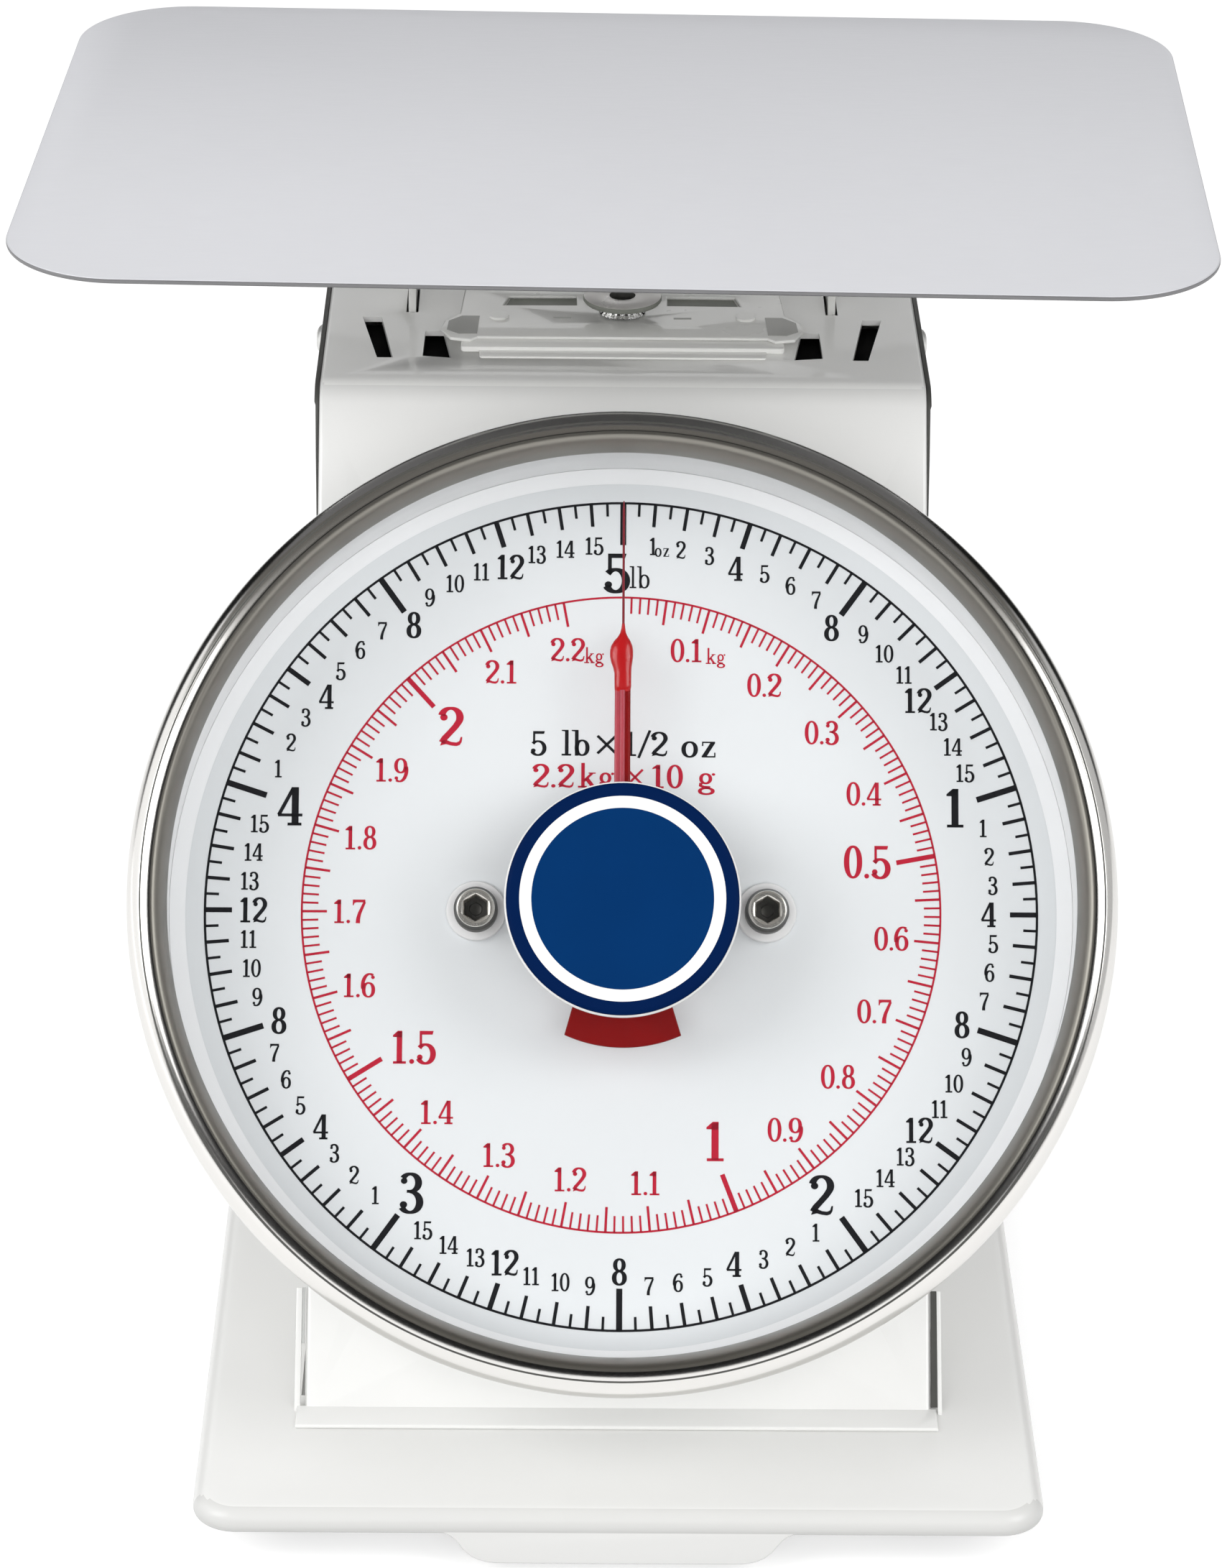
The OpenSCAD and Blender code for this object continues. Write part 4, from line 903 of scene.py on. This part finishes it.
def screw_head(name, xf, r=3.4, h=2.0, mat="zinc_steel"):
    """Domed head with a cross recess."""
    prof = [(0, 0), (r * 0.97, 0), (r, 0.12), (r, h * 0.30), (r * 0.96, h * 0.50), (r * 0.86, h * 0.70), (r * 0.68, h * 0.87), (r * 0.45, h * 0.97), (0, h)]
    ob = lathe(name, prof, mat, 64, Matrix.Identity(4), angle=45)
    bm = bmesh.new()
    for q in range(2):
        a = math.pi / 2 * q
        c, s = math.cos(a), math.sin(a)
        L, W, T = r * 0.58, r * 0.11, h * 0.55
        vs = []
        for z, l, wd in ((h * 0.45, L * 0.45, W), (h * 1.4, L * 1.25, W * 1.15)):
            for x, y in ((-l, -wd), (l, -wd), (l, wd), (-l, wd)):
                vs.append(bm.verts.new(((x * c - y * s) * MM, (x * s + y * c) * MM, z * MM)))
        for f in ((3, 2, 1, 0), (4, 5, 6, 7), (0, 1, 5, 4), (1, 2, 6, 5), (2, 3, 7, 6), (3, 0, 4, 7)):
            bm.faces.new([vs[i] for i in f])
    cut = finish_mesh(name + "_cut", bm, mat, None, 30, False)
    b = ob.modifiers.new("cut", "BOOLEAN")
    b.operation = "DIFFERENCE"
    b.object = cut
    b.solver = "EXACT"
    b.use_self = True
    bake(ob)
    bpy.data.objects.remove(cut)
    ob.data.transform(xf)
    ob.data.set_sharp_from_angle(angle=math.radians(40))
    return ob


for i, side in ((-1, "left"), (1, "right")):
    put(screw_head("side_screw_" + side, axis_frame(i * 64.8, 116, 80, (i, 0, 0)), 3.4, 2.4, "side_zinc"), "housing", *(["side_screws"] if i < 0 else []), slot="zinc_steel")
k = 0
for x in (-54, 54):
    for z in (-80, 70):
        k += 1
        put(screw_head("rear_screw_%d" % k, axis_frame(x, 154, z, (0, 1, 0)), 3.2, 2.0), "housing", *(["rear_cover_screws"] if k == 1 else []), slot="zinc_steel")


# ------------------------------------------------------------------ the bridge on top of the column
def mirror_loop(lp):
    return [(-x, y) for x, y in lp[::-1]]


slotL = [(-26.2, 118.9), (-10.0, 119.1), (-10.0, 124.7), (-25.0, 124.5)]
patchL = [(-37.9, 109.2), (-35.0, 112.2), (-31.2, 112.2), (-31.6, 101.8), (-35.6, 101.7), (-38.2, 104.0)]
deck = [(-33.0, 98.6), (-31.4, 100.4), (31.4, 100.4), (33.0, 98.6), (37.4, 99.6), (39.6, 104.6), (38.8, 109.4), (35.6, 113.6), (34.8, 128.0), (-34.8, 128.0), (-35.6, 113.6), (-38.8, 109.4), (-39.6, 104.6), (-37.4, 99.6)]
well = [(4.0 * math.cos(2 * math.pi * i / 40), 115.0 + 4.0 * math.sin(2 * math.pi * i / 40)) for i in range(40)]
panel("bridge_deck", deck, [slotL, mirror_loop(slotL), well], 86.55, 87.3, "bridge_enamel", "housing", 0.3)
panel("bridge_step_low", [(-30.6, 92.6), (30.6, 92.6), (30.9, 93.1), (31.2, 99.0), (-31.2, 99.0), (-30.9, 93.1)], [], 85.25, 85.75, "bridge_enamel", "housing", 0.15)
panel("bridge_step_mid", [(-34.6, 96.2), (34.6, 96.2), (35.0, 96.8), (34.6, 128.0), (-34.6, 128.0), (-35.0, 96.8)], [well], 85.25, 86.5, "bridge_enamel", "housing", 0.3, ("top_bridge",))
for sgn, tag in ((1, "left"), (-1, "right")):
    loop = patchL if sgn > 0 else mirror_loop(patchL)
    panel("bridge_patch_" + tag, loop, [], 87.28, 87.36, "patch_grey", "housing", 0.0)
    dash = [(-15.1 * sgn, 111.0), (-11.2 * sgn, 111.0), (-11.2 * sgn, 111.9), (-15.1 * sgn, 111.9)]
    panel("bridge_dash_" + tag, dash if sgn > 0 else dash[::-1], [], 87.28, 87.34, "patch_grey", "housing", 0.0)
    # grey bars in the bottoms of the two deck slots: painted shade in the recesses
    bar = slotL if sgn > 0 else mirror_loop(slotL)
    panel("bridge_bar_" + tag, [(x * 0.985, 121.8 + (y - 121.8) * 0.94) for x, y in bar], [], 86.45, 86.60, "recess_shade_grey", "housing", 0.0)


# dark sheets below the openings in the column top: painted shade that makes the openings read black
for sgn, tag in ((-1, "left"), (1, "right")):
    xs = sorted((sgn * 36.0, sgn * 58.5))
    panel("opening_shade_" + tag, [(xs[0], 92.4), (xs[1], 92.4), (xs[1], 117.6), (xs[0], 117.6)], [], 82.3, 82.8, "opening_painted_shade", "housing", 0.0)


# zero screw: a chromed cone with a knurled rim, standing in the well of the bridge
def zero_knob():
    n = 144
    prof = [(2.4, 59.0), (2.4, 84.6), (3.4, 85.3), (3.45, 87.4), (4.9, 87.42), (5.15, 87.6), (5.15, 87.9), (4.75, 88.2), (4.6, 88.5), (4.6, 88.9), (5.4, 89.4), (7.9, 90.0), (8.35, 90.15), (8.6, 90.5),
            (8.6, 90.95), (8.45, 91.25), (8.1, 91.4), (3.2, 91.4), (2.85, 91.3), (2.7, 91.0), (2.6, 89.7), (0, 89.6)]
    bm = bmesh.new()
    rings = []
    for q, (r, z) in enumerate(prof):
        if r == 0:
            rings.append([bm.verts.new((0, 115 * MM, z * MM))])
            continue
        rg = []
        for i in range(n):
            a = 2 * math.pi * i / n
            kn = 0.16 * abs(math.sin(a * 12)) if 6 <= q <= 9 else 0.0
            rg.append(bm.verts.new(((r - kn) * math.cos(a) * MM, (115 + (r - kn) * math.sin(a)) * MM, z * MM)))
        rings.append(rg)
    for A, B in zip(rings[:-1], rings[1:]):
        for i in range(n):
            j = (i + 1) % n
            bm.faces.new((A[i], A[j], B[0])) if len(B) == 1 else bm.faces.new((A[i], A[j], B[j], B[i]))
    bm.faces.new(rings[0][::-1])
    ob = finish_mesh("zero_knob", bm, ["chrome_screw", "satin_chrome", "recess_shade_grey", "seam_dark"], BODYF, 40)
    # the rim and underside of the flange take a grey and the recess in the top a near-black: painted shade
    for f in ob.data.polygons:
        c = f.center - O
        r, z = math.hypot(c.x, c.y - 0.115) / MM, c.z / MM
        if z > 91.2 and r > 2.9:
            f.material_index = 1
        elif z > 89.8 and r > 5.2:
            f.material_index = 2
        elif r < 2.9 and z > 89.5:
            f.material_index = 3
    return ob


put(zero_knob(), "zero_screw", "zero_screw", slot="chrome_screw")
for nm in ("platform_bridge",):
    put(softened(nm, 0.25, 2), "platform_carriage", nm, slot=SLOT[nm])

# ------------------------------------------------------------------ floor, light, camera
def floor():
    bm = bmesh.new()
    g = 24
    vs = [[bm.verts.new((-4 + 8 * i / g, -4 + 8 * j / g, -0.0004)) for i in range(g + 1)] for j in range(g + 1)]
    for j in range(g):
        for i in range(g):
            bm.faces.new((vs[j][i], vs[j][i + 1], vs[j + 1][i + 1], vs[j + 1][i]))
    m, nt, b = _nodes("floor_white")
    n = _noise(nt, 3.0)
    nt.links.new(_mixcol(nt, _range(nt, n.outputs["Fac"], 0, 1), (0.76, 0.76, 0.76), (0.78, 0.78, 0.78)), b.inputs["Base Color"])
    b.inputs["Roughness"].default_value = 0.9
    b.inputs["Emission Color"].default_value = (1, 1, 1, 1)
    b.inputs["Emission Strength"].default_value = 0.46
    M["floor_white"] = m
    ob = finish_mesh("floor", bm, "floor_white", None, 30, False)
    ob.visible_diffuse = False


floor()


def light(name, loc, target, sx, sy, power, glossy=True, col=(1, 1, 1)):
    L = bpy.data.lights.new(name, "AREA")
    L.shape = "RECTANGLE"
    L.size, L.size_y = sx, sy
    L.energy = power
    L.color = col
    ob = bpy.data.objects.new(name, L)
    bpy.context.scene.collection.objects.link(ob)
    d = Vector(target) - Vector(loc)
    ob.matrix_world = Matrix.Translation(Vector(loc)) @ d.to_track_quat("-Z", "Y").to_matrix().to_4x4()
    ob.visible_camera = False
    ob.visible_glossy = glossy
    return ob


light("key_left", (-1.05, -0.87, 1.02), (0, -0.06, 0.11), 0.8, 0.9, 9.3)
light("key_right", (1.05, -0.87, 1.00), (0, -0.06, 0.11), 0.8, 0.9, 8.4)
light("side_left", (-1.35, -0.15, 0.50), (0, -0.02, 0.12), 1.5, 1.2, 7.6)
light("side_right", (1.35, -0.15, 0.50), (0, -0.02, 0.12), 1.5, 1.2, 3.8)
light("soft_top", (-0.25, 0.2, 2.0), (0, 0, 0.1), 1.6, 1.4, 4.0, glossy=False)
light("soft_front", (0.0, -2.0, 0.95), (0, 0, 0.16), 2.2, 0.8, 24, glossy=False)
light("soft_back", (0.0, 2.2, 1.35), (0, 0, 0.23), 2.6, 1.3, 12)


# a dim card overhead, seen only by polished metal
def card():
    bm = bmesh.new()
    g = 6
    vs = [[bm.verts.new((-2.6 + 5.2 * i / g, -1.9 + 4.4 * j / g, 2.3 + 0.02 * ((i + j) % 2))) for i in range(g + 1)] for j in range(g + 1)]
    for j in range(g):
        for i in range(g):
            bm.faces.new((vs[j][i], vs[j + 1][i], vs[j + 1][i + 1], vs[j][i + 1]))
    m, nt, b = _nodes("card_grey")
    n = _noise(nt, 2.0)
    nt.links.new(_mixcol(nt, _range(nt, n.outputs["Fac"], 0, 1), (0.018, 0.017, 0.015), (0.024, 0.022, 0.019)), b.inputs["Base Color"])
    b.inputs["Emission Color"].default_value = (1.0, 0.94, 0.84, 1)
    b.inputs["Emission Strength"].default_value = 0.11
    M["card_grey"] = m
    ob = finish_mesh("card_top", bm, "card_grey", None, 30, False)
    ob.visible_camera = False
    ob.visible_diffuse = False
    ob.visible_shadow = False
    ob.visible_transmission = False


card()

w = bpy.data.worlds.new("studio")
bpy.context.scene.world = w
w.use_nodes = True
w.node_tree.nodes["Background"].inputs[0].default_value = (1, 1, 1, 1)
w.node_tree.nodes["Background"].inputs[1].default_value = 0.29
w.cycles_visibility.glossy = False

bpy.context.scene.view_settings.view_transform = "Standard"
bpy.context.scene.view_settings.look = "None"
bpy.context.scene.view_settings.exposure = 0.0
bpy.context.scene.view_settings.gamma = 1.0


def rot(axis, deg):
    return Matrix.Rotation(math.radians(deg), 3, axis)


cam_data = bpy.data.cameras.new("camera")
cam_data.sensor_width = 36.0
cam_data.sensor_fit = "AUTO"
cam_data.lens = 113.75
cam_data.clip_start = 0.05
cam_data.clip_end = 20
cam = bpy.data.objects.new("camera", cam_data)
bpy.context.scene.collection.objects.link(cam)
Rc = rot("Z", -0.577) @ rot("X", -27.0) @ rot("Y", -0.649)
right, fwd, up = Rc.col[0], Rc.col[1], Rc.col[2]
cam.matrix_world = Matrix(((right.x, up.x, -fwd.x, -0.010972), (right.y, up.y, -fwd.y, -0.959614), (right.z, up.z, -fwd.z, 0.595422), (0, 0, 0, 1)))
bpy.context.scene.camera = cam

bpy.context.view_layer.update()
